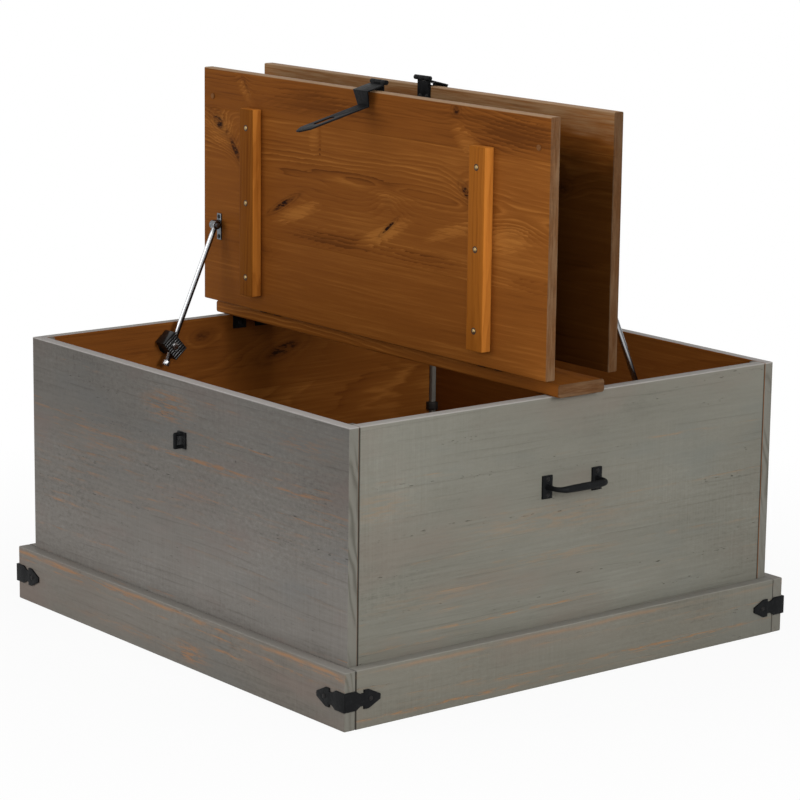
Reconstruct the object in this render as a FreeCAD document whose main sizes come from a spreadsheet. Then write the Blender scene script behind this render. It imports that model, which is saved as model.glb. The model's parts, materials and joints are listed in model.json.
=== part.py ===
import FreeCAD, Part
import os
import Sketcher

# Square storage chest on a plinth, with two lids hinged to a fixed centre board.
# Frame: millimetres, +Z up, origin on the floor under the middle of the chest.
# The front is -Y. The lids stand open, and the back half is the front half turned about Z.

Vector = FreeCAD.Vector
doc = FreeCAD.newDocument("storage_chest")

# Driving dimensions
sizes = {
    # carcass
    "chest_width": 764,
    "chest_depth": 764,
    "wall_thickness": 16,
    "wall_top": 398,
    "wall_lift": 10,
    "plinth_thickness": 18,
    "plinth_height": 80,
    "bottom_thickness": 9,
    "bottom_level": 60,
    "bottom_gap": 1,
    "cleat_size": 20,
    "strip_size": 8,
    "connector_size": 14,
    "connector_height": 13,
    "connector_level": 208,
    # centre board and its brackets
    "board_width": 82,
    "board_overhang": 17,
    "board_round": 4,
    "bracket_leg": 22,
    "bracket_breadth": 24,
    "bracket_sheet": 2,
    "bracket_offset": 21,
    # lids
    "lid_thickness": 16,
    "lid_rest_gap": 2,
    "lid_end_overhang": 16,
    "lid_front_overhang": 17,
    "bumper_radius": 4,
    "bumper_clearance": 0.3,
    "bumper_inset": 42,
    "batten_width": 33,
    "batten_thickness": 17,
    "batten_end_gap": 132,
    "batten_hinge_gap": 23,
    "batten_free_gap": 51,
    "batten_screw_inset": 28,
    "batten_screw_length": 28,
    # surface hinges
    "hinge_end_gap": 126,
    "hinge_length": 50,
    "hinge_reach": 19,
    "hinge_middle": 20,
    "leaf_thickness": 1.8,
    "leaf_clearance": 0.4,
    "knuckle_radius": 3.75,
    "knuckle_clearance": 1.25,
    "knuckle_gap": 0.3,
    "hinge_pin_radius": 1.8,
    "pin_clearance": 0.05,
    "pin_overrun": 1,
    "hinge_screw_spacing": 32,
    # lid stays
    "stay_wall_gap": 16,
    "stay_radius": 126,
    "stay_standoff": 12.4,
    "stay_clearance": 2.1,
    "rod_radius": 4,
    "rod_clearance": 0.1,
    "rod_tail": 12,
    "eye_radius": 6.5,
    "eye_width": 9,
    "block_length": 25,
    "block_width": 36,
    "block_cover": 3.5,
    "block_turn_angle": 25,
    "stub_radius": 4,
    "stub_length": 6,
    "wall_plate_radius": 15,
    "wall_plate_thickness": 2,
    "wall_screw_offset": 9,
    "lug_thickness": 3,
    "stay_plate_width": 10,
    "stay_plate_length": 40,
    "stay_plate_thickness": 2,
    "stay_plate_drop": 4,
    "stay_screw_spacing": 30,
    "stay_pin_radius": 2.5,
    "stay_pin_head": 4,
    "stay_pin_head_height": 1.2,
    "stop_radius": 6,
    "stop_length": 8,
    "brake_radius": 2.5,
    "brake_head_radius": 5,
    "brake_head_height": 2,
    # hasps and staples
    "hasp_offset": 6,
    "hasp_overhang": 11.5,
    "hasp_sheet": 2,
    "barrel_radius": 3.5,
    "barrel_length": 34,
    "barrel_middle": 13,
    "hasp_pin_radius": 1.7,
    "hasp_leaf_width": 28,
    "hasp_leaf_length": 46,
    "hasp_screw_inset": 9,
    "hasp_screw_pitch": 22,
    "hasp_screw_spread": 15,
    "hasp_sag_angle": 14,
    "strap_root_width": 33,
    "strap_width": 24,
    "strap_first": 35.5,
    "strap_length": 118,
    "strap_tip_length": 14,
    "strap_tip_width": 7,
    "strap_clearance": 0.5,
    "slot_width": 9,
    "slot_length": 35,
    "staple_drop": 84,
    "staple_plate_width": 20,
    "staple_plate_height": 23,
    "staple_plate_thickness": 2,
    "staple_rod_radius": 2.8,
    "staple_rise": 18,
    "staple_reach": 15,
    "staple_screw_spacing": 13,
    # bow handles
    "handle_level": 274,
    "handle_span": 90,
    "handle_reach": 26,
    "handle_bend": 11,
    "handle_rod_radius": 4.5,
    "handle_plate_width": 17,
    "handle_plate_height": 32,
    "handle_plate_thickness": 3,
    "handle_screw_spacing": 22,
    # corner irons
    "iron_level": 40,
    "iron_sheet": 2.5,
    "iron_length": 60,
    "iron_height": 26,
    "iron_body": 20,
    "iron_shoulder": 7,
    "iron_neck": 17,
    "iron_head": 27,
    "iron_barb": 8,
    "iron_tip": 7,
    "iron_screw_inset": 41,
    # screws
    "screw_radius": 1.6,
    "screw_clearance": 0.2,
    "screw_length": 12,
    "screw_head_radius": 3.4,
    "screw_head_height": 1.4,
    "flush_head_radius": 2.8,
}

sheet = doc.addObject("Spreadsheet::Sheet", "Sizes")
for row, (alias, value) in enumerate(sizes.items(), start=1):
    sheet.set(f"A{row}", alias)
    sheet.set(f"B{row}", str(value))
    sheet.setAlias(f"B{row}", alias)
doc.recompute()

# Places worked out from the driving dimensions, as expressions on the sheet
half_width = "(Sizes.chest_width / 2)"
half_depth = "(Sizes.chest_depth / 2)"
inner_x = f"({half_width} - Sizes.wall_thickness)"
inner_y = f"({half_depth} - Sizes.wall_thickness)"
plinth_x = f"({half_width} + Sizes.plinth_thickness)"
plinth_y = f"({half_depth} + Sizes.plinth_thickness)"

board_half = "(Sizes.board_width / 2)"
board_end = f"({half_width} + Sizes.board_overhang)"
board_top = "(Sizes.wall_top + Sizes.lid_rest_gap + Sizes.lid_thickness)"

hinge_gap = "(2 * Sizes.leaf_thickness + Sizes.leaf_clearance)"
hinge_rise = "(Sizes.knuckle_radius + Sizes.knuckle_clearance)"
hinge_y = f"({board_half} + {hinge_gap} / 2)"
hinge_z = f"({board_top} + {hinge_rise})"
hinge_bore = "(Sizes.hinge_pin_radius + Sizes.pin_clearance)"

lid_end = f"({half_width} + Sizes.lid_end_overhang)"
lid_depth = f"({half_depth} + Sizes.lid_front_overhang - {board_half} - {hinge_gap})"
lid_outer = f"({hinge_y} + {hinge_rise})"
lid_under = f"({lid_outer} + Sizes.lid_thickness)"
lid_low = f"({hinge_z} + {hinge_gap} / 2)"
lid_high = f"({lid_low} + {lid_depth})"

# Stay: both pivots lie on one circle about the lid hinge, so the rod turns at half the lid's rate
stay_x = f"({inner_x} - Sizes.stay_wall_gap)"
pivot_out = f"({hinge_rise} + Sizes.lid_thickness + Sizes.stay_standoff)"
pivot_lean = f"(asin({pivot_out} / Sizes.stay_radius) / 1 deg)"
block_reach = "(Sizes.block_length / 2 + Sizes.eye_radius + Sizes.stay_clearance)"
closed_span = f"({block_reach} / cos(Sizes.block_turn_angle))"
closed_angle = f"(2 * asin({closed_span} / 2 / Sizes.stay_radius) / 1 deg)"
pivot_y = f"({hinge_y} + {pivot_out})"
pivot_z = f"({hinge_z} + Sizes.stay_radius * cos({pivot_lean}))"
block_y = f"({hinge_y} + Sizes.stay_radius * cos({pivot_lean} + {closed_angle}))"
block_z = f"({hinge_z} - Sizes.stay_radius * sin({pivot_lean} + {closed_angle}))"
rod_lean = f"(45 - {pivot_lean} - {closed_angle} / 2)"
open_span = f"(2 * Sizes.stay_radius * sin(45 + {closed_angle} / 2))"
rod_length = f"({open_span} + Sizes.block_length / 2 + Sizes.rod_tail)"
stay_bore = "(Sizes.stay_pin_radius + Sizes.pin_clearance)"

# Hasp: the strap is drawn latched, hanging from its barrel, and then turned to its open place
hasp_y = f"({lid_outer} - Sizes.barrel_radius)"
hasp_z = f"({lid_high} + Sizes.hasp_overhang)"
hasp_bore = "(Sizes.hasp_pin_radius + Sizes.pin_clearance)"
hasp_swing = "(Sizes.barrel_radius * (1 + sin(Sizes.hasp_sag_angle)) + Sizes.knuckle_gap)"
hasp_shy = f"({hasp_swing} / cos(Sizes.hasp_sag_angle))"
strap_inner = (
    "(Sizes.lid_front_overhang + Sizes.hasp_overhang"
    " - Sizes.staple_plate_thickness - Sizes.strap_clearance)"
)
staple_z = "(Sizes.wall_top - Sizes.staple_drop)"
slot_drop = f"({board_top} + Sizes.barrel_radius - {staple_z})"

half_turn = FreeCAD.Placement(Vector(), FreeCAD.Rotation(Vector(0, 0, 1), 180))
facings = {
    "+x": ("0; 1; 0", "90"),
    "-x": ("0; 1; 0", "-90"),
    "+y": ("1; 0; 0", "-90"),
    "-y": ("1; 0; 0", "90"),
    "+z": ("1; 0; 0", "0"),
    "-z": ("1; 0; 0", "180"),
}
nodes = {}


def place(piece, x, y, z, axis="0; 0; 1", angle="0"):
    base = f"create(<<vector>>; {x}; {y}; {z})"
    turn = f"create(<<rotation>>; create(<<vector>>; {axis}); {angle})"
    piece.setExpression("Placement", f"create(<<placement>>; {base}; {turn})")
    return piece


def box(x0, x1, y0, y1, z0, z1):
    piece = doc.addObject("Part::Box", "Block")
    piece.setExpression("Length", f"({x1}) - ({x0})")
    piece.setExpression("Width", f"({y1}) - ({y0})")
    piece.setExpression("Height", f"({z1}) - ({z0})")
    return place(piece, x0, y0, z0)


def cylinder(x, y, z, facing, radius, length):
    piece = doc.addObject("Part::Cylinder", "Round")
    piece.setExpression("Radius", radius)
    piece.setExpression("Height", length)
    return place(piece, x, y, z, *facings[facing])


def rod_along_x(x0, x1, y, z, radius):
    return cylinder(x0, y, z, "+x", radius, f"({x1}) - ({x0})")


def ball(x, y, z, radius):
    piece = doc.addObject("Part::Sphere", "Ball")
    piece.setExpression("Radius", radius)
    return place(piece, x, y, z)


def fuse(*pieces):
    joined = doc.addObject("Part::MultiFuse", "Joined")
    joined.Shapes = list(pieces)
    return joined


def group(*pieces):
    bunch = doc.addObject("Part::Compound", "Group")
    bunch.Links = list(pieces)
    return bunch


def cut(base, *tools):
    trimmed = doc.addObject("Part::Cut", "Trimmed")
    trimmed.Base = base
    trimmed.Tool = tools[0] if len(tools) == 1 else group(*tools)
    return trimmed


def node(label, *pieces, turn=None):
    piece = pieces[0] if len(pieces) == 1 and turn is None else group(*pieces)
    if turn is not None:
        piece.Placement = turn
    piece.Label = label
    nodes[label] = piece


def origin_plane(body, role):
    return next(plane for plane in body.Origin.OriginFeatures if plane.Role == role)


def sketch_on(body, role):
    sketch = body.newObject("Sketcher::SketchObject", "Sketch")
    sketch.AttachmentSupport = (origin_plane(body, role), [""])
    sketch.MapMode = "FlatFace"
    return sketch


def bind(sketch, kind, *where, expression):
    index = sketch.addConstraint(Sketcher.Constraint(kind, *where))
    sketch.setExpression(f"Constraints[{index}]", expression)


def value_of(expression):
    return float(sheet.evalExpression(expression))


def outline(body, role, corners):
    sketch = sketch_on(body, role)
    points = [Vector(value_of(across), value_of(along), 0) for across, along in corners]
    for index, point in enumerate(points):
        sketch.addGeometry(Part.LineSegment(point, points[(index + 1) % len(points)]))
    for index, (across, along) in enumerate(corners):
        follower = (index + 1) % len(corners)
        sketch.addConstraint(Sketcher.Constraint("Coincident", index, 2, follower, 1))
        bind(sketch, "DistanceX", -1, 1, index, 1, points[index].x, expression=across)
        bind(sketch, "DistanceY", -1, 1, index, 1, points[index].y, expression=along)
    return sketch


def pad(body, sketch, length, backwards=False):
    feature = body.newObject("PartDesign::Pad", "Pad")
    feature.Profile = sketch
    feature.setExpression("Length", length)
    feature.Reversed = backwards
    return feature


def fastener(x, y, z, facing, plate, length="Sizes.screw_length", flush=False):
    # A screw on the surface at x, y, z through a plate, and the tool that cuts the plate's hole
    shank = cylinder("0", "0", f"{plate} - {length}", "+z", "Sizes.screw_radius", length)
    hole_radius = "Sizes.screw_radius + Sizes.screw_clearance"
    if flush:
        head = doc.addObject("Part::Cone", "Head")
        head.setExpression("Radius1", "Sizes.screw_radius")
        head.setExpression("Radius2", "Sizes.flush_head_radius")
        head.setExpression("Height", plate)
        hole = doc.addObject("Part::Cone", "Hole")
        hole.setExpression("Radius1", hole_radius)
        hole.setExpression("Radius2", "Sizes.flush_head_radius + Sizes.screw_clearance")
        hole.setExpression("Height", plate)
    else:
        head = cylinder("0", "0", plate, "+z", "Sizes.screw_head_radius", "Sizes.screw_head_height")
        hole = doc.addObject("Part::Cylinder", "Hole")
        hole.setExpression("Radius", hole_radius)
        hole.setExpression("Height", plate)
    screw = place(fuse(shank, head), x, y, z, *facings[facing])
    return screw, place(hole, x, y, z, *facings[facing])


def carcass():
    for label, side in (("front", "-1"), ("back", "1")):
        near = f"{side} * {half_depth}"
        far = f"{side} * {inner_y}"
        ends = (near, far) if side == "-1" else (far, near)
        node(f"{label}_wall", box(f"-{half_width}", half_width, *ends, "Sizes.wall_lift", "Sizes.wall_top"))
        skirt = (f"{side} * {plinth_y}", near) if side == "-1" else (near, f"{side} * {plinth_y}")
        node(f"{label}_plinth", box(f"-{plinth_x}", plinth_x, *skirt, "0", "Sizes.plinth_height"))
    for label, side in (("left", "-1"), ("right", "1")):
        near = f"{side} * {half_width}"
        far = f"{side} * {inner_x}"
        ends = (near, far) if side == "-1" else (far, near)
        node(f"{label}_wall", box(*ends, f"-{inner_y}", inner_y, "Sizes.wall_lift", "Sizes.wall_top"))
        skirt = (f"{side} * {plinth_x}", near) if side == "-1" else (near, f"{side} * {plinth_x}")
        node(f"{label}_plinth", box(*skirt, f"-{half_depth}", half_depth, "0", "Sizes.plinth_height"))


def bottom():
    edge_x = f"({inner_x} - Sizes.bottom_gap)"
    edge_y = f"({inner_y} - Sizes.bottom_gap)"
    top = "Sizes.bottom_level + Sizes.bottom_thickness"
    node("bottom_panel", box(f"-{edge_x}", edge_x, f"-{edge_y}", edge_y, "Sizes.bottom_level", top))
    low = "Sizes.bottom_level - Sizes.cleat_size"
    short_x = f"({inner_x} - Sizes.cleat_size)"
    short_y = f"({inner_y} - Sizes.cleat_size)"
    node(
        "bottom_cleats",
        box(f"-{inner_x}", inner_x, f"-{inner_y}", f"-{short_y}", low, "Sizes.bottom_level"),
        box(f"-{inner_x}", inner_x, short_y, inner_y, low, "Sizes.bottom_level"),
        box(f"-{inner_x}", f"-{short_x}", f"-{short_y}", short_y, low, "Sizes.bottom_level"),
        box(short_x, inner_x, f"-{short_y}", short_y, low, "Sizes.bottom_level"),
    )


def inner_corners():
    # An upright glue strip in each inner corner, and a plastic corner connector that fits round it
    strips = []
    connectors = []
    low = "Sizes.bottom_level + Sizes.bottom_thickness"
    level = "Sizes.connector_level - Sizes.connector_height / 2"
    for turn, (x, y) in enumerate(((-1, -1), (1, -1), (1, 1), (-1, 1))):
        spot = (f"{x} * {inner_x}", f"{y} * {inner_y}")
        strip = box("0", "Sizes.strip_size", "0", "Sizes.strip_size", low, "Sizes.wall_top")
        strips.append(place(strip, *spot, low, "0; 0; 1", str(turn * 90)))
        body = doc.addObject("PartDesign::Body", "Connector")
        leg = "Sizes.connector_size"
        nib = "Sizes.strip_size"
        corners = [(nib, "0"), (leg, "0"), (leg, nib), (nib, leg), ("0", leg), ("0", nib), (nib, nib)]
        pad(body, outline(body, "XY_Plane", corners), "Sizes.connector_height")
        connectors.append(place(body, *spot, level, "0; 0; 1", str(turn * 90)))
    node("corner_strips", *strips)
    node("corner_connectors", *connectors)


def centre_board():
    body = doc.addObject("PartDesign::Body", "Board")
    rise = "Sizes.lid_rest_gap + Sizes.lid_thickness"
    corners = [(f"-{board_half}", "0"), (board_half, "0"), (board_half, rise), (f"-{board_half}", rise)]
    block = pad(body, outline(body, "YZ_Plane", corners), f"2 * {board_end}")
    doc.recompute()
    long_edges = []
    for index, edge in enumerate(block.Shape.Edges, start=1):
        run = edge.Vertexes[0].Point - edge.Vertexes[1].Point
        if abs(run.x) > abs(run.y) + abs(run.z):
            long_edges.append(f"Edge{index}")
    rounding = body.newObject("PartDesign::Fillet", "Rounding")
    rounding.Base = (block, long_edges)
    rounding.setExpression("Radius", "Sizes.board_round")
    node("centre_board", place(body, f"-{board_end}", "0", "Sizes.wall_top"))


def board_brackets():
    # Two bent steel angles at each end tie the board to the side wall under it
    angles = []
    screws = []
    for end, y in ((-1, -1), (-1, 1), (1, -1), (1, 1)):
        middle = f"{y} * Sizes.bracket_offset"
        side = (f"{middle} - Sizes.bracket_breadth / 2", f"{middle} + Sizes.bracket_breadth / 2")
        inward = f"{end} * ({inner_x} - Sizes.bracket_leg)"
        sheet_in = f"{end} * ({inner_x} - Sizes.bracket_sheet)"
        face = f"{end} * {inner_x}"
        under = ("Sizes.wall_top - Sizes.bracket_sheet", "Sizes.wall_top")
        down = ("Sizes.wall_top - Sizes.bracket_leg", "Sizes.wall_top")
        ledge = box(*((face, inward) if end < 0 else (inward, face)), *side, *under)
        flange = box(*((face, sheet_in) if end < 0 else (sheet_in, face)), *side, *down)
        reach = "(Sizes.bracket_leg / 2 + Sizes.bracket_sheet)"
        inset = f"{end} * ({inner_x} - {reach})"
        up = fastener(inset, middle, "Sizes.wall_top", "-z", "Sizes.bracket_sheet")
        out = fastener(
            face, middle, f"Sizes.wall_top - {reach}", "+x" if end < 0 else "-x", "Sizes.bracket_sheet"
        )
        angles.append(cut(fuse(ledge, flange), up[1], out[1]))
        screws.extend((up[0], out[0]))
    node("board_brackets", *angles)
    return screws


def handle(label, end):
    # A round bar bent to a bow, standing on two upright plates
    face = f"({half_width} + Sizes.handle_plate_thickness)"
    half_span = "(Sizes.handle_span / 2)"
    reach, bend = value_of("Sizes.handle_reach"), value_of("Sizes.handle_bend")
    span = value_of("Sizes.handle_span")
    slack = bend * (1 - 0.5 ** 0.5)
    body = doc.addObject("PartDesign::Body", "Bow")
    path = sketch_on(body, "XY_Plane")
    path.addGeometry(Part.LineSegment(Vector(0, 0), Vector(0, reach - bend)))
    path.addGeometry(Part.Arc(Vector(0, reach - bend), Vector(slack, reach - slack), Vector(bend, reach)))
    path.addGeometry(Part.LineSegment(Vector(bend, reach), Vector(span - bend, reach)))
    turn_start, turn_end = Vector(span - bend, reach), Vector(span, reach - bend)
    path.addGeometry(Part.Arc(turn_start, Vector(span - slack, reach - slack), turn_end))
    path.addGeometry(Part.LineSegment(Vector(span, reach - bend), Vector(span, 0)))
    for first, end_mark, second, start_mark in ((0, 2, 1, 2), (1, 1, 2, 1), (2, 2, 3, 2), (3, 1, 4, 1)):
        path.addConstraint(Sketcher.Constraint("Tangent", first, end_mark, second, start_mark))
    path.addConstraint(Sketcher.Constraint("Coincident", 0, 1, -1, 1))
    path.addConstraint(Sketcher.Constraint("Vertical", 0))
    path.addConstraint(Sketcher.Constraint("Horizontal", 2))
    path.addConstraint(Sketcher.Constraint("Vertical", 4))
    path.addConstraint(Sketcher.Constraint("PointOnObject", 4, 2, -1))
    bind(path, "DistanceX", -1, 1, 4, 2, span, expression="Sizes.handle_span")
    bind(path, "DistanceY", -1, 1, 2, 1, reach, expression="Sizes.handle_reach")
    bind(path, "Radius", 1, bend, expression="Sizes.handle_bend")
    bind(path, "Radius", 3, bend, expression="Sizes.handle_bend")
    ring = sketch_on(body, "XZ_Plane")
    ring.addGeometry(Part.Circle(Vector(), Vector(0, 0, 1), value_of("Sizes.handle_rod_radius")))
    ring.addConstraint(Sketcher.Constraint("Coincident", 0, 3, -1, 1))
    bind(ring, "Radius", 0, value_of("Sizes.handle_rod_radius"), expression="Sizes.handle_rod_radius")
    pipe = body.newObject("PartDesign::AdditivePipe", "Pipe")
    pipe.Profile = ring
    pipe.Spine = (path, [])
    swap = "1; 1; 0" if end > 0 else "1; -1; 0"
    start = f"{-end} * {half_span}"
    node(f"{label}_handle_bar", place(body, f"{end} * {face}", start, "Sizes.handle_level", swap, "180"))

    plates = []
    screws = []
    facing = "+x" if end > 0 else "-x"
    flat = (f"{end} * {half_width}", f"{end} * {face}")
    thick = flat if end > 0 else flat[::-1]
    for side in (-1, 1):
        middle = f"{side} * {half_span}"
        across = (f"{middle} - Sizes.handle_plate_width / 2", f"{middle} + Sizes.handle_plate_width / 2")
        height = "Sizes.handle_plate_height / 2"
        upright = (f"Sizes.handle_level - {height}", f"Sizes.handle_level + {height}")
        plate = box(*thick, *across, *upright)
        holes = []
        for rise in (-1, 1):
            level = f"Sizes.handle_level + {rise} * Sizes.handle_screw_spacing / 2"
            screw, hole = fastener(flat[0], middle, level, facing, "Sizes.handle_plate_thickness")
            screws.append(screw)
            holes.append(hole)
        plates.append(cut(plate, *holes))
    node(f"{label}_handle_plates", *plates)
    return screws


def corner_irons():
    # Each iron is bent round a plinth corner: two wings with a neck and an arrow-shaped end
    mid_low = "(Sizes.iron_height - Sizes.iron_neck) / 2"
    mid_high = "(Sizes.iron_height + Sizes.iron_neck) / 2"
    tip_low = "(Sizes.iron_height - Sizes.iron_tip) / 2"
    tip_high = "(Sizes.iron_height + Sizes.iron_tip) / 2"
    neck = "Sizes.iron_body + Sizes.iron_shoulder"
    head = "Sizes.iron_length - Sizes.iron_head"
    barb = f"{head} + Sizes.iron_barb"
    wing = [
        ("0", "0"),
        ("Sizes.iron_body", "0"),
        (neck, mid_low),
        (head, mid_low),
        (head, "0"),
        (barb, "0"),
        ("Sizes.iron_length", tip_low),
        ("Sizes.iron_length", tip_high),
        (barb, "Sizes.iron_height"),
        (head, "Sizes.iron_height"),
        (head, mid_high),
        (neck, mid_high),
        ("Sizes.iron_body", "Sizes.iron_height"),
        ("0", "Sizes.iron_height"),
    ]
    irons = []
    screws = []
    away_x = f"({plinth_x} - Sizes.iron_screw_inset)"
    away_y = f"({plinth_y} - Sizes.iron_screw_inset)"
    for turn, (x, y) in enumerate(((-1, -1), (1, -1), (1, 1), (-1, 1))):
        body = doc.addObject("PartDesign::Body", "Iron")
        pad(body, outline(body, "XZ_Plane", wing), "Sizes.iron_sheet", backwards=True)
        pad(body, outline(body, "YZ_Plane", wing), "Sizes.iron_sheet")
        spot = (f"{x} * ({plinth_x} + Sizes.iron_sheet)", f"{y} * ({plinth_y} + Sizes.iron_sheet)")
        place(body, *spot, "Sizes.iron_level - Sizes.iron_height / 2", "0; 0; 1", str(turn * 90))
        level = "Sizes.iron_level"
        thickness = "Sizes.iron_sheet"
        on_x = fastener(f"{x} * {plinth_x}", f"{y} * {away_y}", level, "+x" if x > 0 else "-x", thickness)
        on_y = fastener(f"{x} * {away_x}", f"{y} * {plinth_y}", level, "+y" if y > 0 else "-y", thickness)
        irons.append(cut(body, on_x[1], on_y[1]))
        screws.extend((on_x[0], on_y[0]))
    node("corner_irons", *irons)
    node("corner_iron_screws", *screws)


def staple(side, turn):
    # A vertical iron loop on a small plate, which the hasp's slot drops over
    middle = "Sizes.hasp_offset"
    plate_out = f"({half_depth} + Sizes.staple_plate_thickness)"
    bar_out = f"({half_depth} + Sizes.staple_reach - Sizes.staple_rod_radius)"
    half_plate = "Sizes.staple_plate_width / 2"
    half_height = "Sizes.staple_plate_height / 2"
    plate = box(
        f"{middle} - {half_plate}", f"{middle} + {half_plate}", f"-{plate_out}", f"-{half_depth}",
        f"{staple_z} - {half_height}", f"{staple_z} + {half_height}",
    )
    low = f"({staple_z} - Sizes.staple_rise / 2)"
    high = f"({staple_z} + Sizes.staple_rise / 2)"
    radius = "Sizes.staple_rod_radius"
    loop = [cylinder(middle, f"-{bar_out}", low, "+z", radius, "Sizes.staple_rise")]
    for level in (low, high):
        loop.append(cylinder(middle, f"-{half_depth}", level, "-y", radius, f"{bar_out} - {half_depth}"))
        loop.append(ball(middle, f"-{bar_out}", level, radius))
    screws = []
    holes = []
    for offset in (-1, 1):
        x = f"{middle} + {offset} * Sizes.staple_screw_spacing / 2"
        thickness = "Sizes.staple_plate_thickness"
        screw, hole = fastener(x, f"-{half_depth}", staple_z, "-y", thickness, flush=True)
        screws.append(screw)
        holes.append(hole)
    node(f"{side}_staple", cut(fuse(plate, *loop), *holes), turn=turn)
    bunch = group(*screws)
    if turn is not None:
        bunch.Placement = turn
    return bunch


def hinges(side, turn):
    # Surface hinges: one leaf on the board's top, one on the lid's outer face, and a pin through both
    board_leaves = []
    lid_leaves = []
    pins = []
    board_screws = []
    lid_screws = []
    leaf = "Sizes.leaf_thickness"
    shy = "(Sizes.knuckle_radius + Sizes.knuckle_gap)"
    board_skin = (board_top, f"{board_top} + {leaf}")
    lid_skin = (f"-{lid_outer}", f"{leaf} - {lid_outer}")
    for end in (-1, 1):
        middle = f"({end} * ({half_width} - Sizes.hinge_end_gap))"
        low = f"({middle} - Sizes.hinge_length / 2)"
        high = f"({middle} + Sizes.hinge_length / 2)"
        inner_low = f"({middle} - Sizes.hinge_middle / 2)"
        inner_high = f"({middle} + Sizes.hinge_middle / 2)"
        near_edge = f"{shy} - {hinge_y}"
        fixed = [box(low, high, near_edge, f"Sizes.hinge_reach - {hinge_y}", *board_skin)]
        spans = ((low, f"{inner_low} - Sizes.knuckle_gap"), (f"{inner_high} + Sizes.knuckle_gap", high))
        for span in spans:
            fixed.append(box(*span, f"-{hinge_y}", near_edge, *board_skin))
            fixed.append(rod_along_x(*span, f"-{hinge_y}", hinge_z, "Sizes.knuckle_radius"))
        low_edge = f"{hinge_z} + {shy}"
        moving = [
            box(low, high, *lid_skin, low_edge, f"{hinge_z} + Sizes.hinge_reach"),
            box(inner_low, inner_high, *lid_skin, hinge_z, low_edge),
            rod_along_x(inner_low, inner_high, f"-{hinge_y}", hinge_z, "Sizes.knuckle_radius"),
        ]
        bore_low = f"{low} - Sizes.pin_overrun"
        bore_high = f"{high} + Sizes.pin_overrun"
        fixed_cuts = [rod_along_x(bore_low, bore_high, f"-{hinge_y}", hinge_z, hinge_bore)]
        moving_cuts = [rod_along_x(bore_low, bore_high, f"-{hinge_y}", hinge_z, hinge_bore)]
        depth = f"(({shy} + Sizes.hinge_reach) / 2 - {hinge_y})"
        level = f"({hinge_z} + ({shy} + Sizes.hinge_reach) / 2)"
        for offset in (-1, 1):
            x = f"{middle} + {offset} * Sizes.hinge_screw_spacing / 2"
            screw, hole = fastener(x, depth, board_top, "+z", leaf, flush=True)
            board_screws.append(screw)
            fixed_cuts.append(hole)
            screw, hole = fastener(x, f"-{lid_outer}", level, "+y", leaf, flush=True)
            lid_screws.append(screw)
            moving_cuts.append(hole)
        board_leaves.append(cut(fuse(*fixed), *fixed_cuts))
        lid_leaves.append(cut(fuse(*moving), *moving_cuts))
        pins.append(rod_along_x(bore_low, bore_high, f"-{hinge_y}", hinge_z, "Sizes.hinge_pin_radius"))
    node(f"{side}_lid_hinge_leaves", *lid_leaves, turn=turn)
    fixed_groups = []
    for pieces in (board_leaves, pins, board_screws):
        bunch = group(*pieces)
        if turn is not None:
            bunch.Placement = turn
        fixed_groups.append(bunch)
    return fixed_groups, lid_screws


def lid(side, turn):
    panel = box(f"-{lid_end}", lid_end, f"-{lid_under}", f"-{lid_outer}", lid_low, lid_high)
    node(f"{side}_lid_panel", panel, turn=turn)
    battens = []
    screws = []
    bumpers = []
    batten_face = f"({lid_under} + Sizes.batten_thickness)"
    low = f"({lid_low} + Sizes.batten_hinge_gap)"
    high = f"({lid_high} - Sizes.batten_free_gap)"
    for end in (-1, 1):
        middle = f"{end} * ({lid_end} - Sizes.batten_end_gap)"
        across = (f"{middle} - Sizes.batten_width / 2", f"{middle} + Sizes.batten_width / 2")
        battens.append(box(*across, f"-{batten_face}", f"-{lid_under}", low, high))
        inset = "Sizes.batten_screw_inset"
        for level in (f"{low} + {inset}", f"({low} + {high}) / 2", f"{high} - {inset}"):
            thick = "Sizes.batten_thickness"
            screw, _ = fastener(middle, f"-{lid_under}", level, "-y", thick, "Sizes.batten_screw_length")
            screws.append(screw)
        over_wall = f"{end} * ({half_width} - Sizes.wall_thickness / 2)"
        rise = "Sizes.lid_rest_gap - Sizes.bumper_clearance"
        height = f"{lid_high} - Sizes.bumper_inset"
        bumpers.append(cylinder(over_wall, f"-{lid_under}", height, "-y", "Sizes.bumper_radius", rise))
    node(f"{side}_lid_battens", *battens, turn=turn)
    node(f"{side}_batten_screws", *screws, turn=turn)
    node(f"{side}_lid_bumpers", *bumpers, turn=turn)


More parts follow.
